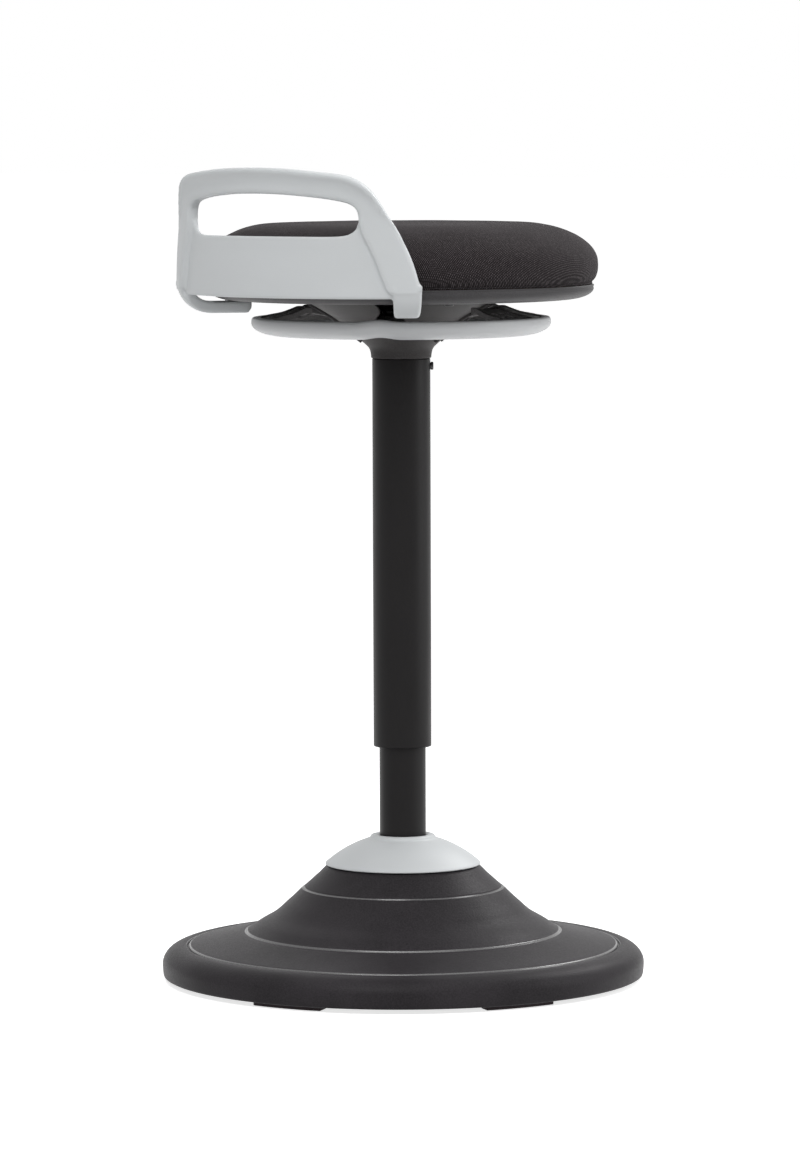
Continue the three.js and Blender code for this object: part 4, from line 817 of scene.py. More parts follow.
@dataclass
class Studio:
    """The pale floor, the soft light and the camera."""

    lens: float = 178.7
    sensor: float = 36.0
    distance: float = 5.017
    eye: float = 0.7595
    pitch: float = 4.79
    yaw: float = 0.02
    roll: float = -0.2
    ambient: float = 0.36
    clip: float = 200.0
    floor_size: float = 80.0
    floor_colour: float = 0.82
    floor_glow: float = 0.74

    def backdrop(self) -> None:
        """A white world for the camera and reflections, and a plainer one for light."""
        world = bpy.data.worlds.new("studio")
        world.use_nodes = True
        bpy.context.scene.world = world
        nodes, links = world.node_tree.nodes, world.node_tree.links
        share = self.seen_directly(nodes, links)
        level = nodes.new("ShaderNodeMapRange")
        links.new(share, level.inputs[0])
        level.inputs[3].default_value = self.ambient
        level.inputs[4].default_value = 1.0
        shade = next(node for node in nodes if node.type == "BACKGROUND")
        shade.inputs["Color"].default_value = (1, 1, 1, 1)
        links.new(level.outputs[0], shade.inputs["Strength"])

    @staticmethod
    def seen_directly(nodes: bpy.types.Nodes, links: bpy.types.NodeLinks) -> Socket:
        """1 for camera, mirror and glass rays, and 0 for light that scatters.

        Args:
            nodes: The nodes of the tree.
            links: Its links.

        Returns:
            The socket with that number.
        """
        path = nodes.new("ShaderNodeLightPath")
        total = path.outputs["Is Camera Ray"]
        for name in ("Is Glossy Ray", "Is Transmission Ray"):
            plus = nodes.new("ShaderNodeMath")
            plus.operation = "ADD"
            plus.use_clamp = True
            links.new(total, plus.inputs[0])
            links.new(path.outputs[name], plus.inputs[1])
            total = plus.outputs[0]
        return total

    def floor(self) -> Piece:
        """A wide pale floor that keeps the stool's shadow."""
        bpy.ops.mesh.primitive_plane_add(size=self.floor_size, location=(0, 0, 0))
        ground = bpy.context.object
        ground.name = "studio_floor"
        material = bpy.data.materials.new("studio_floor")
        material.use_nodes = True
        nodes, links = material.node_tree.nodes, material.node_tree.links
        nodes.clear()
        matt = nodes.new("ShaderNodeBsdfDiffuse")
        matt.inputs["Color"].default_value = (*[self.floor_colour] * 3, 1)
        glow = nodes.new("ShaderNodeEmission")
        level = nodes.new("ShaderNodeMath")
        level.operation = "MULTIPLY"
        level.inputs[1].default_value = self.floor_glow
        links.new(self.seen_directly(nodes, links), level.inputs[0])
        links.new(level.outputs[0], glow.inputs["Strength"])
        both = nodes.new("ShaderNodeAddShader")
        links.new(matt.outputs[0], both.inputs[0])
        links.new(glow.outputs[0], both.inputs[1])
        links.new(both.outputs[0], nodes.new("ShaderNodeOutputMaterial").inputs["Surface"])
        ground.data.materials.append(material)
        return ground

    def camera(self) -> None:
        """The camera at the photograph's place and angle."""
        turn = math.radians(CAMERA_SIDE)
        at = (self.distance * math.cos(turn), self.distance * math.sin(turn), self.eye)
        bpy.ops.object.camera_add(location=at)
        camera = bpy.context.object
        camera.name = "photo_camera"
        camera.data.lens = self.lens
        camera.data.sensor_width = self.sensor
        camera.data.sensor_fit = "AUTO"
        camera.data.clip_end = self.clip
        heading = turn + math.pi + math.radians(self.yaw)
        down = math.radians(self.pitch)
        level = math.cos(down)
        aim = Vector((math.cos(heading) * level, math.sin(heading) * level, -math.sin(down)))
        lean = Matrix.Rotation(math.radians(self.roll), 4, "Z")
        camera.rotation_euler = (aim.to_track_quat("-Z", "Y").to_matrix().to_4x4() @ lean).to_euler()
        bpy.context.scene.camera = camera

    def build(self) -> None:
        """Sets up light, floor and camera."""
        self.backdrop()
        self.floor()
        for lamp in LAMPS:
            lamp.build()
        self.camera()
        bpy.context.scene.view_settings.view_transform = "Standard"
        LOG.info("studio is ready")


# Screws


@dataclass
class Screw:
    """A screw with a rounded head and a socket, built standing with its head up."""

    head: float
    head_height: float
    shank: float
    length: float
    socket: float

    def build(self, name: str) -> Piece:
        """Turns the head and shank, and sinks the socket into the head.

        Args:
            name: The name of the new piece.

        Returns:
            The screw, with the underside of its head at the origin.
        """
        top = self.head_height
        dome = arc((self.head - top * 0.45, top * 0.55), (top * 0.45, top * 0.45), 0, 90, 5)
        tip = self.shank * 0.35
        profile = [(0, -self.length), (self.shank - tip, -self.length), (self.shank, -self.length + tip),
                   (self.shank, 0), (self.head, 0), *dome, (0, top)]
        piece = turned(name, profile, 32)
        bore = rod("socket", self.socket, (0, 0, top * 0.35 * MM), (0, 0, (top + 1) * MM), sides=6)
        return smooth(boolean(piece, bore), 40)

    def place(self, name: str, head_at: Place, towards: Place) -> Piece:
        """Builds the screw and puts its head at a place.

        Args:
            name: The name of the new piece.
            head_at: Where the underside of the head goes, in metres.
            towards: The direction in which the head faces.

        Returns:
            The screw in its place.
        """
        turn = Vector(towards).to_track_quat("Z", "Y").to_matrix().to_4x4()
        return moved(self.build(name), Matrix.Translation(Vector(head_at)) @ turn)


# Base


@dataclass
class Base:
    """The weighted base: cover, plate, foot pads and the screws below."""

    rim_radius: float = 208.5
    rim_band: float = 20.0
    rim_waist: float = 14.6
    rim_top: float = 30.3
    skirt_top: Pair = (137.4, 42.0)
    skirt_sag: float = 0.5
    shoulder: Pair = (87.2, 79.4)
    neck_radius: float = 98.0
    wall: float = 3.0
    plate_edge: float = 198.0
    pad_radius: float = 199.0
    pad_band: float = 14.0
    pad_arc: float = 19.0
    pad_height: float = 4.0
    pad_side: float = 160.0
    pad_count: int = 6
    screw_circle: float = 150.0
    screw_count: int = 3

    @property
    def ledge(self) -> float:
        """The radius where the round top of the rim ends."""
        return self.rim_radius - self.rim_band

    def rim(self) -> list[Pair]:
        """The outline of the rim, from its foot to the inner edge of its top."""
        foot = stepped((self.rim_radius, 0), [(-6.3, 4.0), (-2.3, 4.1), (-1.1, 4.7), (-0.6, 6.2),
                                              (-0.2, 10.0)])
        bulge = arc((self.ledge, self.rim_waist), (self.rim_band, self.rim_top - self.rim_waist), 0, 86, 14)
        return [*foot, *bulge]

    def grooves(self) -> tuple[list[Pair], list[Pair], list[Pair]]:
        """The three turned grooves, each listed from outside to inside.

        Returns:
            The groove inside the rim, the one at the foot of the cone and the one at its shoulder.
        """
        rim = stepped((self.ledge, self.rim_top), [
            (-0.4, -0.25), (-0.8, -0.8), (-1.0, -1.9), (-1.4, -2.8), (-2.0, -3.1), (-2.5, -2.7),
            (-2.75, -1.7), (-2.95, -0.4), (-3.4, 0.3), (-4.4, 0.65)])
        foot = stepped(self.skirt_top, [(0.7, -0.16), (0, -0.25), (-0.5, -0.75), (-1.1, -1.0),
                                        (-1.7, -0.75), (-2.2, 0.5), (-2.7, 1.05), (-3.4, 1.3)])
        neck = stepped(self.shoulder, [(0.7, -0.5), (0.25, -0.05), (-0.25, 0.1), (-0.7, -0.35),
                                       (-1.2, -0.6), (-1.6, -0.1), (-1.8, 0.9), (-2.2, 1.6), (-2.9, 2.2)])
        return rim, foot, neck

    def cone(self) -> list[Pair]:
        """The hollow flank between the foot of the cone and its shoulder."""
        _, foot_groove, neck_groove = self.grooves()
        shares = [(0.1, 0.085), (0.2, 0.172), (0.32, 0.262), (0.45, 0.36), (0.56, 0.47), (0.66, 0.59),
                  (0.83, 0.79)]
        return rounded([foot_groove[-1], *between(foot_groove[-1], self.shoulder, shares), neck_groove[0]], 4)

    def neck(self) -> list[Pair]:
        """The cone above the shoulder, and the ball that the dome slides on."""
        start = self.grooves()[-1][-1]
        ball = arc((0, PIVOT), (self.neck_radius, self.neck_radius), 42.3, 71.2, 16)
        return [start, *between(start, ball[0], [(0.4, 0.4)]), *ball]

    def cover(self) -> Piece:
        """The cover: one turned shell with three grooves and rounded edges."""
        rim_groove, foot_groove, neck_groove = self.grooves()
        steps = [i / 10 for i in range(1, 10)]
        straight = between(rim_groove[-1], foot_groove[0], [(share, share) for share in steps])
        skirt = [(radius, height - self.skirt_sag * math.sin(math.pi * share))
                 for (radius, height), share in zip(straight, steps)]
        profile = [*self.rim(), *rim_groove, *skirt, *foot_groove, *self.cone()[1:-1], *neck_groove,
                   *self.neck()]
        piece = turned("base_cover_shell", profile, 192, closed=False)
        apply(piece, "SOLIDIFY", thickness=self.wall * MM, offset=-1.0, use_quality_normals=True)
        smooth(piece, 50)
        dress(piece, Finishes.COVER, Slot.DARK_PLASTIC, Body.BASE, "base_cover")
        return self.groove_gloss_and_painted_highlight(piece)

    def groove_gloss_and_painted_highlight(self, piece: Piece) -> Piece:
        """Gives the floors and lips of the grooves a smoother, glossier finish, with a lighter colour that is
        painted highlight.
        """
        piece.data.materials.append(Finishes.GROOVE.value.material())
        foot, shoulder = self.skirt_top[0], self.shoulder[0]
        bands = ((self.ledge - 4.0, self.ledge - 0.3, 26.8), (foot - 2.5, foot + 0.2, 40.0),
                 (shoulder - 1.9, shoulder + 0.4, 78.0))
        for face in piece.data.polygons:
            reach, lift = math.hypot(face.center.x, face.center.y) / MM, face.center.z / MM
            if any(inner < reach < outer and base < lift < base + 6 for inner, outer, base in bands):
                face.material_index = 1
        return piece

    def plate(self) -> Piece:
        """The steel plate below, with a pressed ring and a rolled edge."""
        bottom, top = low("base_plate"), high("base_plate")
        edge = self.plate_edge
        pressing = stepped((0, bottom), [(0, 1.2), (60, 1.2), (64, 0), (120, 0), (123, 1.1), (133, 1.1),
                                         (136, 0)])
        profile = [*pressing, *stepped((edge, bottom), [(-1.2, 0), (-0.3, 0.4), (0, 1.3)]),
                   *stepped((edge, top), [(0, -0.6), (-0.6, 0)]), (0, top)]
        piece = smooth(turned("base_plate_pressing", profile, 160), 25)
        return dress(piece, Finishes.PLATE, Slot.BLACK_STEEL, Body.BASE, "base_plate")

    def pads(self) -> None:
        """One rubber pad with rounded edges, copied round the rim."""
        outer, inner = self.pad_radius, self.pad_radius - self.pad_band
        angles = [-self.pad_arc / 2 + self.pad_arc * i / 12 for i in range(13)]
        corners = [(inner, 0), (outer, 0), (outer, self.pad_height), (inner, self.pad_height)]
        sections = [[polar(radius, angle, height) for radius, height in corners] for angle in angles]
        pattern = soften(swept("pad_pattern", sections), 0.9, 3)
        for i in range(self.pad_count):
            angle = self.pad_side + 360 / self.pad_count * i
            pad = smooth(turned_to(copied(pattern, f"foot_pad_rubber_{i + 1}"), angle))
            dress(pad, Finishes.PAD, Slot.RUBBER, Body.BASE, f"foot_pad_{i + 1}")
        bpy.data.objects.remove(pattern)

    def screws(self) -> None:
        """The three screws that hold the cover, seen from below."""
        head_at = low("base_plate") - SEAM
        screw = Screw(4.0, 1.9, 2.0, high("cover_screw_1") - head_at, 1.7)
        for i in range(self.screw_count):
            at = polar(self.screw_circle, REAR + 360 / self.screw_count * i, head_at)
            piece = screw.place(f"cover_fixing_{i + 1}", at, (0, 0, -1))
            dress(piece, Finishes.STEEL, Slot.BARE_STEEL, Body.BASE, f"cover_screw_{i + 1}")

    def build(self) -> None:
        """Builds and dresses the whole base."""
        self.cover()
        self.plate()
        self.pads()
        self.screws()


# Column


@dataclass
class Column:
    """The two tubes, the grey dome and the small parts on them."""

    dome_radius: float = 100.5
    dome_wall: float = 1.5
    dome_foot: float = 48.3
    lower_radius: float = 20.0
    lower_wall: float = 2.0
    upper_radius: float = 25.0
    upper_wall: float = 2.3
    screw_bore: float = 3.1

    def dome(self) -> Piece:
        """The grey cap with a thin skirt edge and a low collar round the tube."""
        top = high("dome_cap")
        outside = arc((0, PIVOT), (self.dome_radius, self.dome_radius), self.dome_foot, 73.2, 22)
        edge = [(66.2, 99.75), (66.9, 99.95), (67.15, 100.5)]
        collar = [(28.6, 123.05), (28.25, 123.5), (28.05, 124.2), (27.6, 124.9), (26.9, 125.3), (25.4, top),
                  (23.0, top - 0.05), (21.2, top - 0.5), (20.3, top - 1.4)]
        inner = self.dome_radius - self.dome_wall
        inside = arc((0, PIVOT), (inner, inner), 78.1, self.dome_foot, 16)
        piece = smooth(turned("dome_shell", [*edge, *outside, *collar, *inside], 144), 38)
        return dress(piece, Finishes.DOME, Slot.GREY_PLASTIC, Body.COLUMN, "dome_cap")

    def tube(self, name: str, radius: float, wall: float, span: Pair, chamfer: float) -> Piece:
        """A round tube with rounded ends.

        Args:
            name: The name of the new piece.
            radius: Its outer radius.
            wall: Its wall.
            span: Its lowest and highest height.
            chamfer: The rounding at its ends.

        Returns:
            The tube.
        """
        bottom, top = span
        bore = radius - wall
        foot = arc((radius - chamfer, bottom + chamfer), (chamfer, chamfer), -90, 0, 5)
        head = arc((radius - chamfer / 2, top - chamfer / 2), (chamfer / 2, chamfer / 2), 0, 90, 3)
        runs = [(radius, bottom + (top - bottom) * i / 8) for i in range(1, 8)]
        profile = [(bore, bottom + 0.5), (bore + 0.5, bottom), *foot, *runs, *head, (bore, top)]
        return smooth(turned(name, profile, 96), 38)

    @staticmethod
    def screw_height() -> float:
        """The height of the set screw's axis, in millimetres."""
        return (low("set_screw") + high("set_screw")) / 2

    def tubes(self) -> None:
        """The lower tube, and the upper tube with its screw bore."""
        span = (low("lower_tube"), high("lower_tube"))
        lower = self.tube("lower_tube_steel", self.lower_radius, self.lower_wall, span, 0.5)
        dress(lower, Finishes.TUBE, Slot.BLACK_STEEL, Body.COLUMN, "lower_tube")
        span = (low("upper_tube"), high("upper_tube"))
        upper = self.tube("upper_tube_steel", self.upper_radius, self.upper_wall, span, 1.1)
        reach = (self.upper_radius - 10, self.upper_radius + 3)
        ends = [polar(radius, SCREW_SIDE, self.screw_height()) for radius in reach]
        smooth(boolean(upper, rod("bore", self.screw_bore, *ends)), 38)
        dress(upper, Finishes.TUBE, Slot.BLACK_STEEL, Body.SEAT, "upper_tube")

    def bush(self) -> Piece:
        """The plastic bush between the tubes."""
        bottom, top, radius = low("slide_bush"), high("slide_bush"), radius_of("slide_bush")
        bore = self.lower_radius + SEAM
        profile = [(bore + 0.3, bottom), (radius - 0.4, bottom), (radius, bottom + 0.4), (radius, top),
                   (bore, top), (bore, bottom + 0.4)]
        piece = smooth(turned("slide_bush_ring", profile, 96), 30)
        return dress(piece, Finishes.BUSH, Slot.BLACK_PLASTIC, Body.SEAT, "slide_bush")

    def set_screw(self) -> Piece:
        """The small screw near the top of the upper tube."""
        screw = Screw(3.5, 2.4, 2.8, 6.4, 1.9)
        head_at = polar(self.upper_radius + SEAM, SCREW_SIDE, self.screw_height())
        piece = screw.place("set_screw_steel", head_at, polar(1, SCREW_SIDE, 0))
        return dress(piece, Finishes.BLACKED, Slot.BLACK_STEEL, Body.SEAT, "set_screw")

    def build(self) -> None:
        """Builds and dresses the column's visible parts."""
        self.dome()
        self.tubes()
        self.bush()
        self.set_screw()


# Seat carrier


def carrier_lip() -> float:
    """The height of the seat carrier's lip, a seam above the upper tube."""
    return high("upper_tube") + SEAM


@dataclass
class Carrier:
    """The trumpet that carries the seat, with its slots, windows and ribs."""

    lip_radius: float = 26.0
    lip_height: float = 2.6
    top_radius: float = 80.0
    top_edge: float = 2.2
    wall: float = 3.4
    floor: float = 24.0
    bore: float = 14.3
    boss: float = 19.0
    boss_height: float = 10.0
    ear_inside: float = 5.0
    ear_outside: float = 11.0
    ear_wall: float = 2.6
    ear_height: float = 7.5
    slot_waist: float = 6.8
    window_start: float = 24.0
    window_half: float = 12.0
    window_sill: float = 31.0
    rib_stand: float = 2.2
    rib_start: float = 33.0
    bolt_circle: float = 55.0
    bolt_count: int = 4
    post_radius: float = 6.0

    def outline(self) -> list[Pair]:
        """The outside of the trumpet, from its lip to its top."""
        start = (self.lip_radius, carrier_lip() + self.lip_height)
        end = (self.top_radius, high("seat_carrier") - self.top_edge)
        shares = [(0, 0), (0.028, 0.127), (0.128, 0.246), (0.333, 0.447), (0.6, 0.72), (1, 1)]
        return rounded(between(start, end, shares), 6)

    def shell(self) -> Piece:
        """The turned body: spigot, lip, trumpet wall and floor."""
        foot, bottom, top = low("seat_carrier"), carrier_lip(), high("seat_carrier")
        floor = bottom + self.floor
        outside = self.outline()
        upper = [point for point in outside if point[1] > floor + 2]
        inside = [(radius - self.wall * 0.72, height + self.wall * 0.69) for radius, height in upper[:-2]]
        inside = [point for point in inside if point[1] < top - 1]
        spigot = radius_of("slide_bush")
        profile = [(self.bore, foot), (spigot - 1, foot), (spigot, foot + 1), (spigot, bottom),
                   *stepped((self.lip_radius, bottom), [(-1.4, 0), (-0.4, 0.3), (0, 1.2)]), *outside,
                   (self.top_radius, top), (inside[-1][0] + 1, top), *reversed(inside),
                   (inside[0][0] - 2.5, floor), (self.bore, floor)]
        return turned("seat_carrier_shell", profile, 112)

    def slot_tool(self) -> Piece:
        """The bar that cuts the two keyhole slots, narrow between round shoulders, square to the arms."""
        top, reach = high("seat_carrier"), self.top_radius + 3
        waist = stepped((self.slot_waist, 0), [(5.4, -22.2), (6.6, -19.6), (6.2, -16.6), (4.7, -14.0),
                                               (2.6, -11.9), (0.9, -10.1), (0.1, -8.2), (0, -6.2),
                                               (0.5, -4.1), (1.8, -2.2), (3.9, -0.7), (6.6, 0.5)])
        right = [*rounded([(7.5, -23.0), *waist], 2), (self.slot_waist + 6.6, 4.0)]
        loop = [*right, *[(-across, drop) for across, drop in reversed(right)]]
        sections = [[metres(across, y, top + drop) for across, drop in loop] for y in (-reach, reach)]
        return turned_to(swept("slot_tool", sections), ARM_SIDE)

    def rib(self, angle: float, slant: float) -> Piece:
        """A raised edge beside an arm's window, which follows the trumpet's wall.

        Args:
            angle: Where the window is, in degrees.
            slant: How far to the side of it the rib stands, in millimetres.

        Returns:
            The rib.
        """
        section = ((-1.7, -2.4), (1.7, -2.4), (1.7, 1.5), (0.9, 2.3), (-0.9, 2.3), (-1.7, 1.5))
        sections = []
        for radius, height in [point for point in self.outline() if point[0] > self.rib_start]:
            away = math.sqrt(max(radius ** 2 - slant ** 2, 1))
            sections.append([metres(away + proud * 0.7, slant + across, height - proud * 0.7)
                             for across, proud in section])
        return turned_to(swept("rib", sections), angle)

    def ears(self) -> list[Piece]:
        """The bore boss, and the two ears that hold the rocker's pin."""
        bottom = carrier_lip() + self.floor
        top = bottom + self.boss_height
        profile = [(self.bore, bottom - 1), (self.boss, bottom - 1), (self.boss, top - 0.5),
                   (self.boss - 0.5, top), (self.bore, top)]
        parts = [turned("boss", profile, 64)]
        reach = math.sqrt(self.boss ** 2 - self.ear_outside ** 2) - SEAM
        for side in (-1, 1):
            near, far = sorted((side * reach, side * (reach - self.ear_wall)))
            corners = (self.ear_inside, near, top - 0.5), (self.ear_outside, far, top + self.ear_height)
            parts.append(block("ear", *corners, LEVER_SIDE, 0.6))
        return parts

    def bolt_posts(self) -> list[Piece]:
        """The four posts under the pan's bolts, trimmed to the inside of the trumpet."""
        bottom, top = carrier_lip() + self.floor, high("seat_carrier")
        wall = [(radius - 1, height) for radius, height in self.outline() if height > bottom]
        filled = [(0, bottom), *wall, (self.top_radius - 1, top), (0, top)]
        posts = []
        for i in range(self.bolt_count):
            angle = ARM_SIDE + 45 + 360 / self.bolt_count * i
            ends = [polar(self.bolt_circle, angle, height) for height in (bottom, top)]
            post = rod("post", self.post_radius, *ends)
            posts.append(boolean(post, turned("filled", filled, 64), Cut.KEEP))
        return posts

    def build(self) -> None:
        """Builds, cuts and dresses the trumpet."""
        piece = self.shell()
        boolean(piece, self.slot_tool())
        sill, top, half = carrier_lip() + self.window_sill, high("seat_carrier"), self.window_half
        for angle in (ARM_SIDE, ARM_SIDE + 180):
            corners = (self.window_start, -half, sill), (self.top_radius + 4, half, top + 2)
            boolean(piece, block("window", *corners, angle, 2.0))
        ribs = [self.rib(ARM_SIDE + turn, side * (half + self.rib_stand))
                for turn in (0, 180) for side in (-1, 1)]
        face_out(piece)
        piece = joined("seat_carrier_bracket", [piece, *ribs, *self.ears(), *self.bolt_posts()])
        smooth(piece, 35)
        dress(piece, Finishes.CARRIER, Slot.DARK_PLASTIC, Body.SEAT, "seat_carrier")


# Lever


@dataclass
class Lever:
    """The grey finger ring, and the dark spider that joins it to the release."""

    ring_radius: float = 128.8
    ring_band: float = 21.3
    ring_height: float = 15.8
    raised: float = 2.0
    clearance: float = 7.2
    wave_side: float = 121.0
    wave_arc: float = 9.5
    wave_rise: float = 1.9
    wave_reach: float = 0.9
    rim_band: float = 7.0
    rim_height: float = 6.0
    fan_arc: float = 34.0
    fan_root: float = 83.5
    fan_wall: float = 3.6
    pocket_count: int = 9
    pocket_length: float = 7.2
    sleeve_bore: float = 19.3
    sleeve_radius: float = 24.0
    sleeve_height: float = 12.0
    arm_width: float = 20.0
    arm_height: float = 24.3

    def wave(self, piece: Piece) -> None:
        """Raises the ring by a low wave on the outside, where fingers find it."""
        for vertex in piece.data.vertices:
            angle = math.degrees(math.atan2(vertex.co.y, vertex.co.x))
            share = (angle - self.wave_side) / self.wave_arc
            if abs(share) < 1:
                lift = (1 + math.cos(math.pi * share)) / 2
                vertex.co.z += self.wave_rise * lift * MM
                out = Vector((vertex.co.x, vertex.co.y, 0)).normalized()
                vertex.co += out * (self.wave_reach * lift * MM)

    def ring(self) -> Piece:
        """The hollow ring with its rolled outer face."""
        bottom = low("lever_ring") + self.raised
        top = bottom + self.ring_height
        radius, band = self.ring_radius, self.ring_band
        shares = [(0.135, 1.0), (0.08, 0.985), (0.035, 0.93), (0.008, 0.83), (0, 0.7), (0.015, 0.58),
                  (0.06, 0.46), (0.14, 0.35), (0.27, 0.24), (0.48, 0.12), (0.74, 0.04), (0.93, 0.0)]
        outer = rounded(between((radius, bottom), (radius - band, top), shares), 3)
        lip = stepped((radius - band, bottom), [(0.6, 0), (0, 0.6), (0, 1.9), (0.8, 2.4)])
        inner = [(radius - band * 0.5, bottom + 4.2), (radius - band * 0.28, bottom + 6.2),
                 *stepped((radius, bottom), [(-4.2, 8.0), (-2.9, 10.4)]),
                 *stepped((radius, top), [(-3.1, -3.2), (-4.9, -2.0), (-4.9, -0.4), (-4.4, 0)])]
        piece = turned("lever_ring_shell", [*outer, *lip, *inner], 216)
        self.wave(piece)
        smooth(piece, 40)
        return dress(piece, Finishes.RING, Slot.GREY_PLASTIC, Body.RING, "lever_ring")

    def rim_top(self) -> float:
        """The height of the ring's own top, where the rim and the fans start."""
        return high("lever_ring") - self.wave_rise + self.raised

    def root_top(self) -> float:
        """The height of the fans' roots, with room below the pan for the lift."""
        return low("seat_pan") - self.clearance

    def fan_outline(self) -> list[Pair]:
        """The top of a fan, from the rim to its root under the pan."""
        start = (radius_of("lever_spider") - self.rim_band / 2, self.rim_top() - 0.2)
        shares = [(0, 0), (0.2, 0.2), (0.48, 0.43), (0.72, 0.79), (0.85, 1), (1, 1)]
        return rounded(between(start, (self.fan_root, self.root_top()), shares), 4)

    def fan(self, middle: float) -> Piece:
        """One fan, with two rows of pockets near the rim.

        Args:
            middle: The angle at its middle, in degrees.

        Returns:
            The fan.
        """
        top = self.fan_outline()
        section = [*top, *[(radius, height - self.fan_wall) for radius, height in reversed(top)]]
        piece = turned("fan", section, 40, sweep=2 * self.fan_arc, start=middle - self.fan_arc)
        rim = radius_of("lever_spider")
        bottom, top = low("lever_ring"), low("seat_pan")
        pitch = 2 * self.fan_arc / (self.pocket_count + 1)
        tools = []
        for far in (rim - 8.8, rim - 19.0):
            for i in range(self.pocket_count):
                half = 2.6 if i % 2 else 3.0
                corners = (far - self.pocket_length, -half, bottom), (far, half, top)
                tools.append(block("pocket", *corners, middle - self.fan_arc + pitch * (i + 1), 0.8))
        boolean(piece, joined("pockets", tools))
        return soften(piece, 0.45, 1, 60)

    def fan_ribs(self, middle: float) -> list[Piece]:
        """The upright ribs on a fan, from its root down to the rim."""
        wall = -self.fan_wall
        section = ((-1.2, wall), (1.2, wall), (1.2, 0.9), (0.5, 1.6), (-0.5, 1.6), (-1.2, 0.9))
        ribs = []
        for share in (-1, -0.36, 0.36, 1):
            sections = [[metres(radius, across, height + rise) for across, rise in section]
                        for radius, height in self.fan_outline()]
            ribs.append(turned_to(swept("fan_rib", sections), middle + self.fan_arc * share))
        return ribs

    def arm(self, angle: float) -> Piece:
        """An arm that climbs from the sleeve to the root of its fan."""
        floor = carrier_lip() + self.arm_height
        top = min(high("lever_spider") - 6.0, floor + self.sleeve_height)
        foot = stepped((22.0, floor), [(0, 0), (7, 0), (17, 7.3)])
        root = stepped((self.fan_root, self.root_top()), [(0, -3.9), (8, -3.9), (8, -0.3), (-8, -0.3)])
        shape = [*foot, *root, (34.0, top - 0.6), (29.0, top), (22.0, top)]
        half = self.arm_width / 2
        sections = [[metres(radius, across, height) for radius, height in shape] for across in (-half, half)]
        return turned_to(soften(swept("arm", sections), 0.8, 2, 30), angle)

    def spider(self) -> Piece:
        """The rim band, the two fans with their arms, and the sleeve on the boss."""
        rim = (radius_of("lever_spider"), self.rim_top() + 0.6)
        inner, drop = -self.rim_band, -self.rim_height
        band = stepped(rim, [(0, drop), (0, -0.6), (-0.6, 0), (-2.0, 0.1), (-2.6, -0.7), (-3.6, -0.9),
                             (inner + 0.6, -0.3), (inner, -0.9), (inner, drop)])
        foot = (self.sleeve_bore, carrier_lip() + self.arm_height)
        wall, rise = self.sleeve_radius - self.sleeve_bore, self.sleeve_height
        sleeve = stepped(foot, [(0, 0), (wall, 0), (wall, rise - 0.6), (wall - 0.6, rise), (0, rise)])
        parts = [turned("spider_rim", band, 160), turned("sleeve", sleeve, 64)]
        for angle in (ARM_SIDE, ARM_SIDE + 180):
            parts += [self.fan(angle), self.arm(angle), *self.fan_ribs(angle)]
        piece = smooth(joined("lever_spider_frame", parts), 35)
        # The spider's finish is a lighter copy of the dark plastic: painted light on the shaded fans.
        return dress(piece, Finishes.SPIDER, Slot.DARK_PLASTIC, Body.RING, "lever_spider")

    def build(self) -> None:
        """Builds and dresses the ring and the spider."""
        self.ring()
        self.spider()


# Seat


CLOTH_SETTINGS = {
    "quality": 6, "mass": 0.3, "use_pressure": True, "uniform_pressure_force": 4.0, "tension_stiffness": 25.0,
    "compression_stiffness": 25.0, "shear_stiffness": 12.0, "bending_stiffness": 4.0,
}


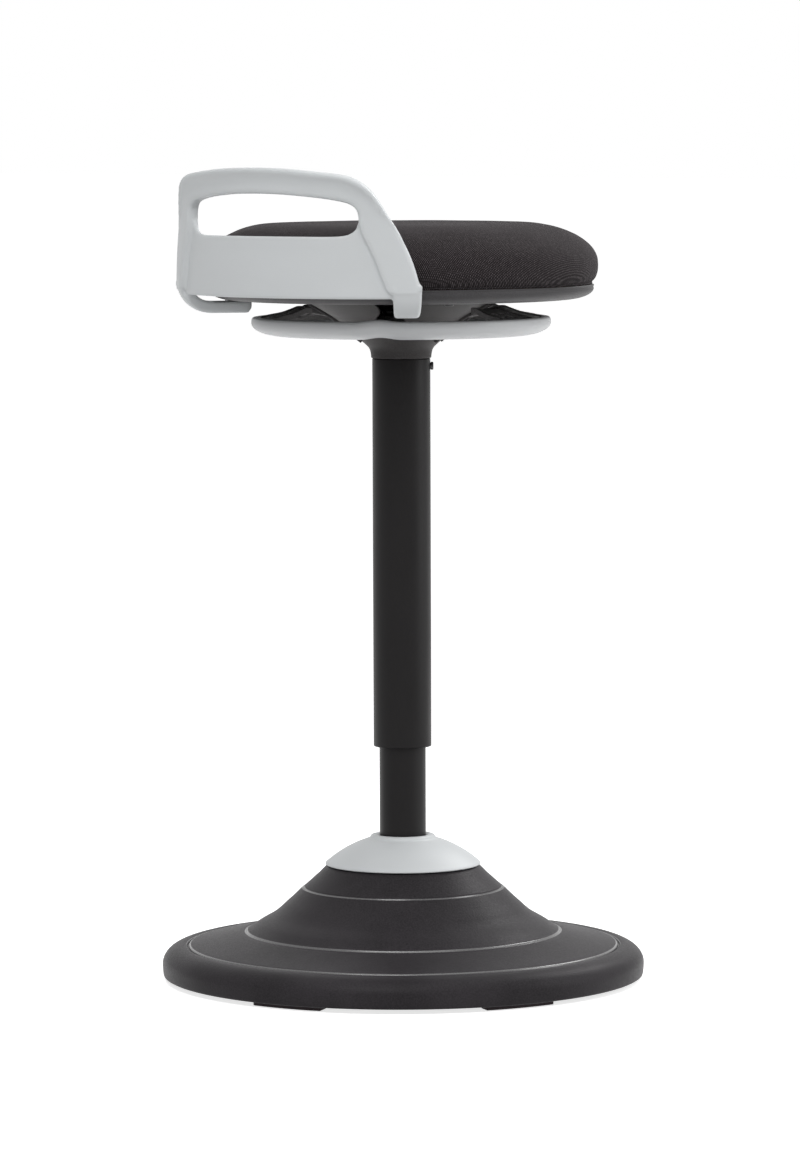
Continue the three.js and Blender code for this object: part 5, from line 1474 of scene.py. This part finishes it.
@dataclass
class Seat:
    """The moulded pan, the cushion on its board, and the screws below."""

    pan_radius: float = 165.6
    pan_round: Pair = (22.0, 9.5)
    pan_wall: float = 3.0
    cushion_radius: float = 171.2
    undercut: float = 7.7
    thickness: float = 51.4
    shrink: float = 1.2
    cap: float = 2.2
    voxel: float = 4.5
    calm: int = 14
    held_height: float = 5.0
    swell_steps: int = 20
    sideways: float = 0.9
    screw_circle: float = 118.0
    screw_count: int = 3

    def pan(self) -> Piece:
        """The shallow pan, with a thin bead round its top edge."""
        bottom, top = low("seat_pan"), high("seat_pan")
        radius = self.pan_radius
        under = stepped((0, bottom), [(0, 0), (88, 0), (90, 0.9), (128, 0.9), (130, 0)])
        across, up = self.pan_round
        side = arc((radius - across, bottom + up), self.pan_round, -90, -4, 16)
        bead = stepped((radius, top), [(-0.35, -2.4), (-0.35, -1.7), (0, -1.3), (0.1, -0.6), (-0.4, -0.1),
                                       (-1.2, 0)])
        inside = [*stepped((radius, top), [(-self.pan_wall, 0), (-self.pan_wall, -4.8), (-16, -4.8),
                                           (-16, -8.6)]),
                  (0, top - 8.6)]
        piece = smooth(turned("seat_pan_shell", [*under, *side, *bead, *inside], 192), 30)
        return dress(piece, Finishes.PAN, Slot.DARK_PLASTIC, Body.SEAT, "seat_pan")

    def cushion_outline(self) -> list[Pair]:
        """The foam before it swells, from the middle of its underside to its crown."""
        bottom = low("cushion")
        radius = self.cushion_radius - self.shrink
        top = bottom + self.thickness - self.shrink
        side = [(0.0, 0.0), (0.35, 0.035), (0.68, 0.09), (0.92, 0.19), (1.0, 0.34)]
        crown = [(0.997, 0.47), (0.982, 0.58), (0.957, 0.685), (0.923, 0.78), (0.884, 0.865),
                 (0.837, 0.932), (0.775, 0.975), (0.67, 0.997), (0.3, 1.0)]
        points = [*between((radius - self.undercut, bottom), (radius, top), side),
                  *between((0, bottom), (radius, top), crown)]
        return [(0, bottom), (60, bottom), (120, bottom), *rounded(points, 4), (0, top)]

    def calmed(self, piece: Piece, shifts: list[Vector]) -> list[Vector]:
        """Caps the shifts of a piece's vertices, and evens them out along its edges.

        Args:
            piece: The swollen foam.
            shifts: How far each of its vertices has moved.

        Returns:
            The calmer shifts.
        """
        shifts = [shift * min(1.0, self.cap * MM / max(shift.length, 1e-9)) for shift in shifts]
        for _ in range(self.calm):
            sums = [shift.copy() for shift in shifts]
            counts = [1] * len(shifts)
            for edge in piece.data.edges:
                first, second = edge.vertices
                for near, far in ((first, second), (second, first)):
                    sums[near] += shifts[far]
                    counts[near] += 1
            shifts = [total / count for total, count in zip(sums, counts)]
        return shifts

    def swell(self, piece: Piece) -> None:
        """Blows the foam up against its cover, with the underside held.

        Args:
            piece: The remeshed foam.
        """
        rest = [vertex.co.copy() for vertex in piece.data.vertices]
        reach = (low("cushion") + self.held_height) * MM
        held = piece.vertex_groups.new(name="held")
        held.add([i for i, place in enumerate(rest) if place.z < reach], 1.0, "REPLACE")
        modifier = piece.modifiers.new("swell", "CLOTH")
        for key, value in CLOTH_SETTINGS.items():
            setattr(modifier.settings, key, value)
        modifier.settings.vertex_group_mass = held.name
        modifier.settings.effector_weights.gravity = 0.0
        modifier.collision_settings.use_collision = False
        scene = bpy.context.scene
        for step in range(1, self.swell_steps + 1):
            scene.frame_set(step)
        select_only(piece)
        bpy.ops.object.modifier_apply(modifier=modifier.name)
        scene.frame_set(1)
        piece.vertex_groups.clear()
        vertices = piece.data.vertices
        shifts = self.calmed(piece, [vertex.co - start for vertex, start in zip(vertices, rest)])
        for vertex, start, shift in zip(vertices, rest, shifts):
            vertex.co = start + shift

    def lay_weave(self, piece: Piece) -> None:
        """Maps the fabric over the crown and down the sides, in metres along the cloth."""
        layer = piece.data.uv_layers.new(name="weave")
        crown = high("cushion") * MM
        for loop in piece.data.loops:
            place = piece.data.vertices[loop.vertex_index].co
            reach = math.hypot(place.x, place.y)
            scale = (reach + self.sideways * (crown - place.z)) / max(reach, 1e-5)
            layer.data[loop.index].uv = (place.x * scale, place.y * scale)

    def cushion(self) -> Piece:
        """The round cushion: foam swollen in a stretched knitted cover."""
        piece = turned("cushion_cover", self.cushion_outline(), 96)
        apply(piece, "REMESH", mode="VOXEL", voxel_size=self.voxel * MM, adaptivity=0.0)
        self.swell(piece)
        apply(piece, "SMOOTH", factor=0.5, iterations=2)
        apply(piece, "SUBSURF", levels=1, render_levels=1)
        floor = low("cushion") * MM
        for vertex in piece.data.vertices:
            vertex.co.z = max(vertex.co.z, floor)
        self.lay_weave(piece)
        select_only(piece)
        bpy.ops.object.shade_smooth()
        dress(piece, Finishes.FABRIC, Slot.KNIT_FABRIC, Body.SEAT, "cushion")
        return piece

    def hem(self) -> Piece:
        """The rolled hem where the cover tucks round the board's edge, over the pan."""
        corner = (self.pan_radius - self.pan_wall, high("seat_pan") + 0.15)
        profile = stepped(corner, [(-0.2, 0), (0.9, 0), (1.5, 0.5), (1.7, 1.2), (1.5, 2.0), (0.9, 2.6),
                                   (-0.2, 2.8)])
        piece = turned("cover_hem", profile, 160)
        self.lay_weave(piece)
        return dress(smooth(piece, 60), Finishes.FABRIC, Slot.KNIT_FABRIC, Body.SEAT)

    def screws(self) -> None:
        """The three board screws under the pan."""
        head_at = low("seat_pan") - SEAM
        screw = Screw(4.0, 2.0, 1.8, high("board_screw_1") - head_at, 1.7)
        for i in range(self.screw_count):
            at = polar(self.screw_circle, REAR + 180 + 360 / self.screw_count * i, head_at)
            piece = screw.place(f"board_fixing_{i + 1}", at, (0, 0, -1))
            dress(piece, Finishes.BLACKED, Slot.BARE_STEEL, Body.SEAT, f"board_screw_{i + 1}")

    def build(self) -> None:
        """Builds and dresses the seat."""
        self.pan()
        self.cushion()
        self.hem()
        self.screws()


# Grab handle


@dataclass
class Handle:
    """The rear grab handle, built flat and bent round the seat.

    Across the flat, a width is the distance along the outer face, and a depth of 0 is that face.
    """

    radius: float = 193.2
    wall: float = 10.2
    rise: float = 114.8
    foot_share: float = 0.107
    end_angle: float = 45.25
    foot_angle: float = 38.0
    web_recess: float = 5.6
    web_wall: float = 4.3
    lip_reach: float = 6.2
    lip_end: float = 41.0
    lip_fade: float = 12.0
    bend: float = 28.0
    nose_radius: float = 130.0
    screw_circle: float = 150.0
    voxel: float = 1.25

    def width(self, angle: float) -> float:
        """The distance along the outer face for an angle from the rear."""
        return math.radians(angle) * self.radius

    def points(self, rows: Sequence[Pair], parts: int) -> list[Pair]:
        """A smooth outline on the flat, from angles and shares of the handle's rise."""
        return rounded([(self.width(angle), self.height(share)) for angle, share in rows], parts)

    def height(self, share: float) -> float:
        """The height for a share of the handle's rise."""
        return low("seat_pan") + self.rise * share

    def edges(self) -> tuple[list[Pair], list[Pair]]:
        """The outer and the inner edge of the arch, matched point for point.

        Returns:
            Widths and heights of the right half of both edges, from the middle of the rail to the foot.
        """
        foot = self.foot_share - 2 / self.rise
        rows = [(0, 1, 0, 0.81), (9, 0.993, 7, 0.806), (17, 0.974, 14, 0.793), (23.85, 0.954, 20.2, 0.775),
                (27.3, 0.933, 24.2, 0.757), (29.3, 0.908, 26.4, 0.742), (31.05, 0.874, 27.9, 0.722),
                (32.7, 0.83, 28.8, 0.695), (34, 0.782, 29.2, 0.665), (35.3, 0.725, 29.35, 0.63),
                (36.5, 0.669, 29.4, 0.595), (38.1, 0.6, 29.9, 0.54), (39.6, 0.53, 30.5, 0.5),
                (40.8, 0.46, 31.2, 0.46), (42.3, 0.37, 32.2, 0.404), (43.5, 0.277, 33.3, 0.335),
                (44.3, 0.2, 34.5, 0.245), (44.75, 0.155, 35.6, 0.165), (45, 0.125, 36.5, 0.105),
                (45, foot + 0.01, 37.4, 0.092), (45, foot, 38, foot)]
        return self.points([row[:2] for row in rows], 4), self.points([row[2:] for row in rows], 4)

    def arch(self) -> Piece:
        """The rail and both legs, as one bar with rounded edges."""
        outer, inner = self.edges()
        back = -self.wall
        shape = [(0, 1.2, back), (0, 0.3, back + 0.3), (0, 0, back + 1.2), (0, 0, -4.2), (0, 0.4, -2.4),
                 (0, 1.2, -1.1), (0, 2.4, -0.3), (0, 4.0, 0), (1, 3.6, 0), (1, 2.1, -0.3), (1, 0.9, -1.1),
                 (1, 0.25, -2.4), (1, 0, -4.2), (1, 0, back + 1.2), (1, 0.3, back + 0.3), (1, 1.2, back)]
        sections = []
        for far, near in zip(mirrored(outer), mirrored(inner)):
            far, near = Vector(far), Vector(near)
            step = (far - near).normalized()
            section = []
            for end, draw, depth in shape:
                at = far - step * draw if end else near + step * draw
                section.append(metres(at.x, depth, at.y))
            sections.append(section)
        return swept("arch", sections)

    def web(self) -> Piece:
        """The recessed web between the legs, up to the slot."""
        rows = [(0, 0.502), (9, 0.502), (17.6, 0.502), (22.5, 0.503), (25.5, 0.51), (27.4, 0.53),
                (28.6, 0.56), (29.3, 0.605), (30.9, 0.53), (33.2, 0.41), (35.2, 0.26), (37.2, 0.13)]
        foot = self.height(0.05)
        face, back = -self.web_recess, -self.web_recess - self.web_wall
        shape = [(0, 0.9, back), (0, 0.2, back + 0.4), (0, 0, back + 1.1), (0, 0.3, face - 0.8),
                 (0, 1.1, face), (1, 0.9, face), (1, 0.2, face - 0.5), (1, 0, face - 1.2),
                 (1, 0, back + 1.1), (1, 0.8, back)]
        sections = [[metres(x, depth, top - draw if end else foot + draw) for end, draw, depth in shape]
                    for x, top in mirrored(self.points(rows, 3))]
        return swept("web", sections)

    def lip(self) -> Piece:
        """The rolled lip along the top, which fades out on the way down the legs."""
        furthest = self.width(self.lip_end + 0.5)
        whole = [point for point in mirrored(self.edges()[0]) if abs(point[0]) < furthest]
        shape = [(-4.0, -14.0), (-0.6, -15.0), (0.5, -12.0), (2.0, -8.6), (4.2, -6.0), (6.3, -4.6),
                 (7.5, -3.2), (7.7, -2.0), (7.1, -0.8), (5.8, -0.1), (4.2, 0.1), (-4.0, -0.2)]
        proudest = max(depth for depth, _ in shape)
        sections = []
        for i, (x, z) in enumerate(whole):
            before, after = whole[max(i - 1, 0)], whole[min(i + 1, len(whole) - 1)]
            along = (Vector(after) - Vector(before)).normalized()
            angle = math.degrees(abs(x) / self.radius)
            fade = min(1.0, max(0.0, (self.lip_end - angle) / self.lip_fade))
            reach = self.lip_reach / proudest * (3 * fade ** 2 - 2 * fade ** 3)
            deep = 0.45 + 0.55 * fade
            section = []
            for depth, drop in shape:
                proud = depth * reach - 0.6 * (1 - fade) if depth > 0 else depth
                section.append(metres(x - along.y * drop * deep, proud, z + along.x * drop * deep))
            sections.append(section)
        return swept("lip", sections)

    def tongue(self, side: int) -> Piece:
        """The foot of a leg, which curls in under the pan.

        Args:
            side: 1 for the +X leg, -1 for the other.

        Returns:
            The tongue.
        """
        bottom = low("handle")
        top = self.height(self.foot_share) + 1
        nose = self.nose_radius - self.radius
        thin = self.bend - self.wall
        centre = (-self.bend, bottom + self.bend)
        outer = arc(centre, (self.bend, self.bend), 0, -90, 12)
        inner = arc(centre, (thin, thin), -90, 0, 10)
        tip = [(nose + 3, bottom), (nose, bottom + 4.5), (nose, bottom + self.wall)]
        loop = [*reversed([(-self.wall, top), (0, top), *outer, *tip, *inner])]
        start, end = self.width(self.foot_angle), self.width(self.end_angle)
        sections = []
        for share, draw in ((0, 1.6), (0.03, 0.6), (0.09, 0), (0.5, 0), (0.91, 0), (0.97, 0.6), (1, 1.6)):
            x = side * (start + (end - start) * share)
            sections.append([metres(x, y, z) for y, z in inset(loop, draw)])
        return swept("tongue", sections)

    def bore_tool(self, side: int) -> Piece:
        """The cutter for a screw's bore and counterbore, on one side."""
        at = REAR - side * (self.foot_angle + self.end_angle) / 2
        profile = stepped((0, low("handle")), [(0, -2), (5.0, -2), (5.0, 3.5), (2.5, 3.5), (2.5, 14),
                                               (0, 14)])
        tool = turned("bore_tool", profile, 32)
        return moved(tool, Matrix.Translation(Vector(polar(self.screw_circle, at, 0))))

    def build(self) -> None:
        """Joins the flat parts, melts them into one skin, and bends it round the seat."""
        parts = [self.arch(), self.web(), self.lip(), self.tongue(1), self.tongue(-1)]
        piece = joined("grab_handle", parts)
        apply(piece, "REMESH", mode="VOXEL", voxel_size=self.voxel * MM, adaptivity=0.0)
        apply(piece, "SMOOTH", factor=0.5, iterations=4)
        wide = [vertex.co.x for vertex in piece.data.vertices]
        span = max(wide) - min(wide)
        apply(piece, "SIMPLE_DEFORM", deform_method="BEND", deform_axis="Z", angle=-span / (self.radius * MM))
        moved(piece, Matrix.Translation((0, self.radius * MM, 0)))
        for side in (1, -1):
            boolean(piece, self.bore_tool(side))
        face_out(piece)
        smooth(piece, 45)
        dress(piece, Finishes.HANDLE, Slot.GREY_PLASTIC, Body.SEAT, "handle")
        self.screws()

    def screws(self) -> None:
        """The two screws that hold the tongues to the pan."""
        head_at = low("handle_screw_left") + 3
        screw = Screw(4.4, 3.0, 2.2, high("handle_screw_left") - head_at, 2.1)
        for name, angle in (("left", 131.5), ("right", 48.5)):
            piece = screw.place(f"handle_fixing_{name}", polar(self.screw_circle, angle, head_at), (0, 0, -1))
            dress(piece, Finishes.STEEL, Slot.BARE_STEEL, Body.SEAT, f"handle_screw_{name}")


# Nodes that stay


@dataclass
class Inside:
    """The CAD nodes that stay as they are, hidden ones among them."""

    def build(self) -> None:
        """Gives every CAD node the finish of its slot."""
        for entry in frame["record"]["subparts"]:
            node = frame["nodes"][entry["node"]]
            finish = SLOT_FINISH[Slot(entry["material_slot"])]
            if not node.material_slots:
                node.data.materials.append(finish.value.material())
            for holder in node.material_slots:
                holder.material = finish.value.material()


def main() -> None:
    """Builds the studio and then every part of the stool, from the floor up."""
    logging.basicConfig(level=logging.INFO, format="%(name)s: %(message)s")
    Studio().build()
    for part in (Inside(), Base(), Column(), Carrier(), Lever(), Seat(), Handle()):
        part.build()


if __name__ == "__main__":
    main()
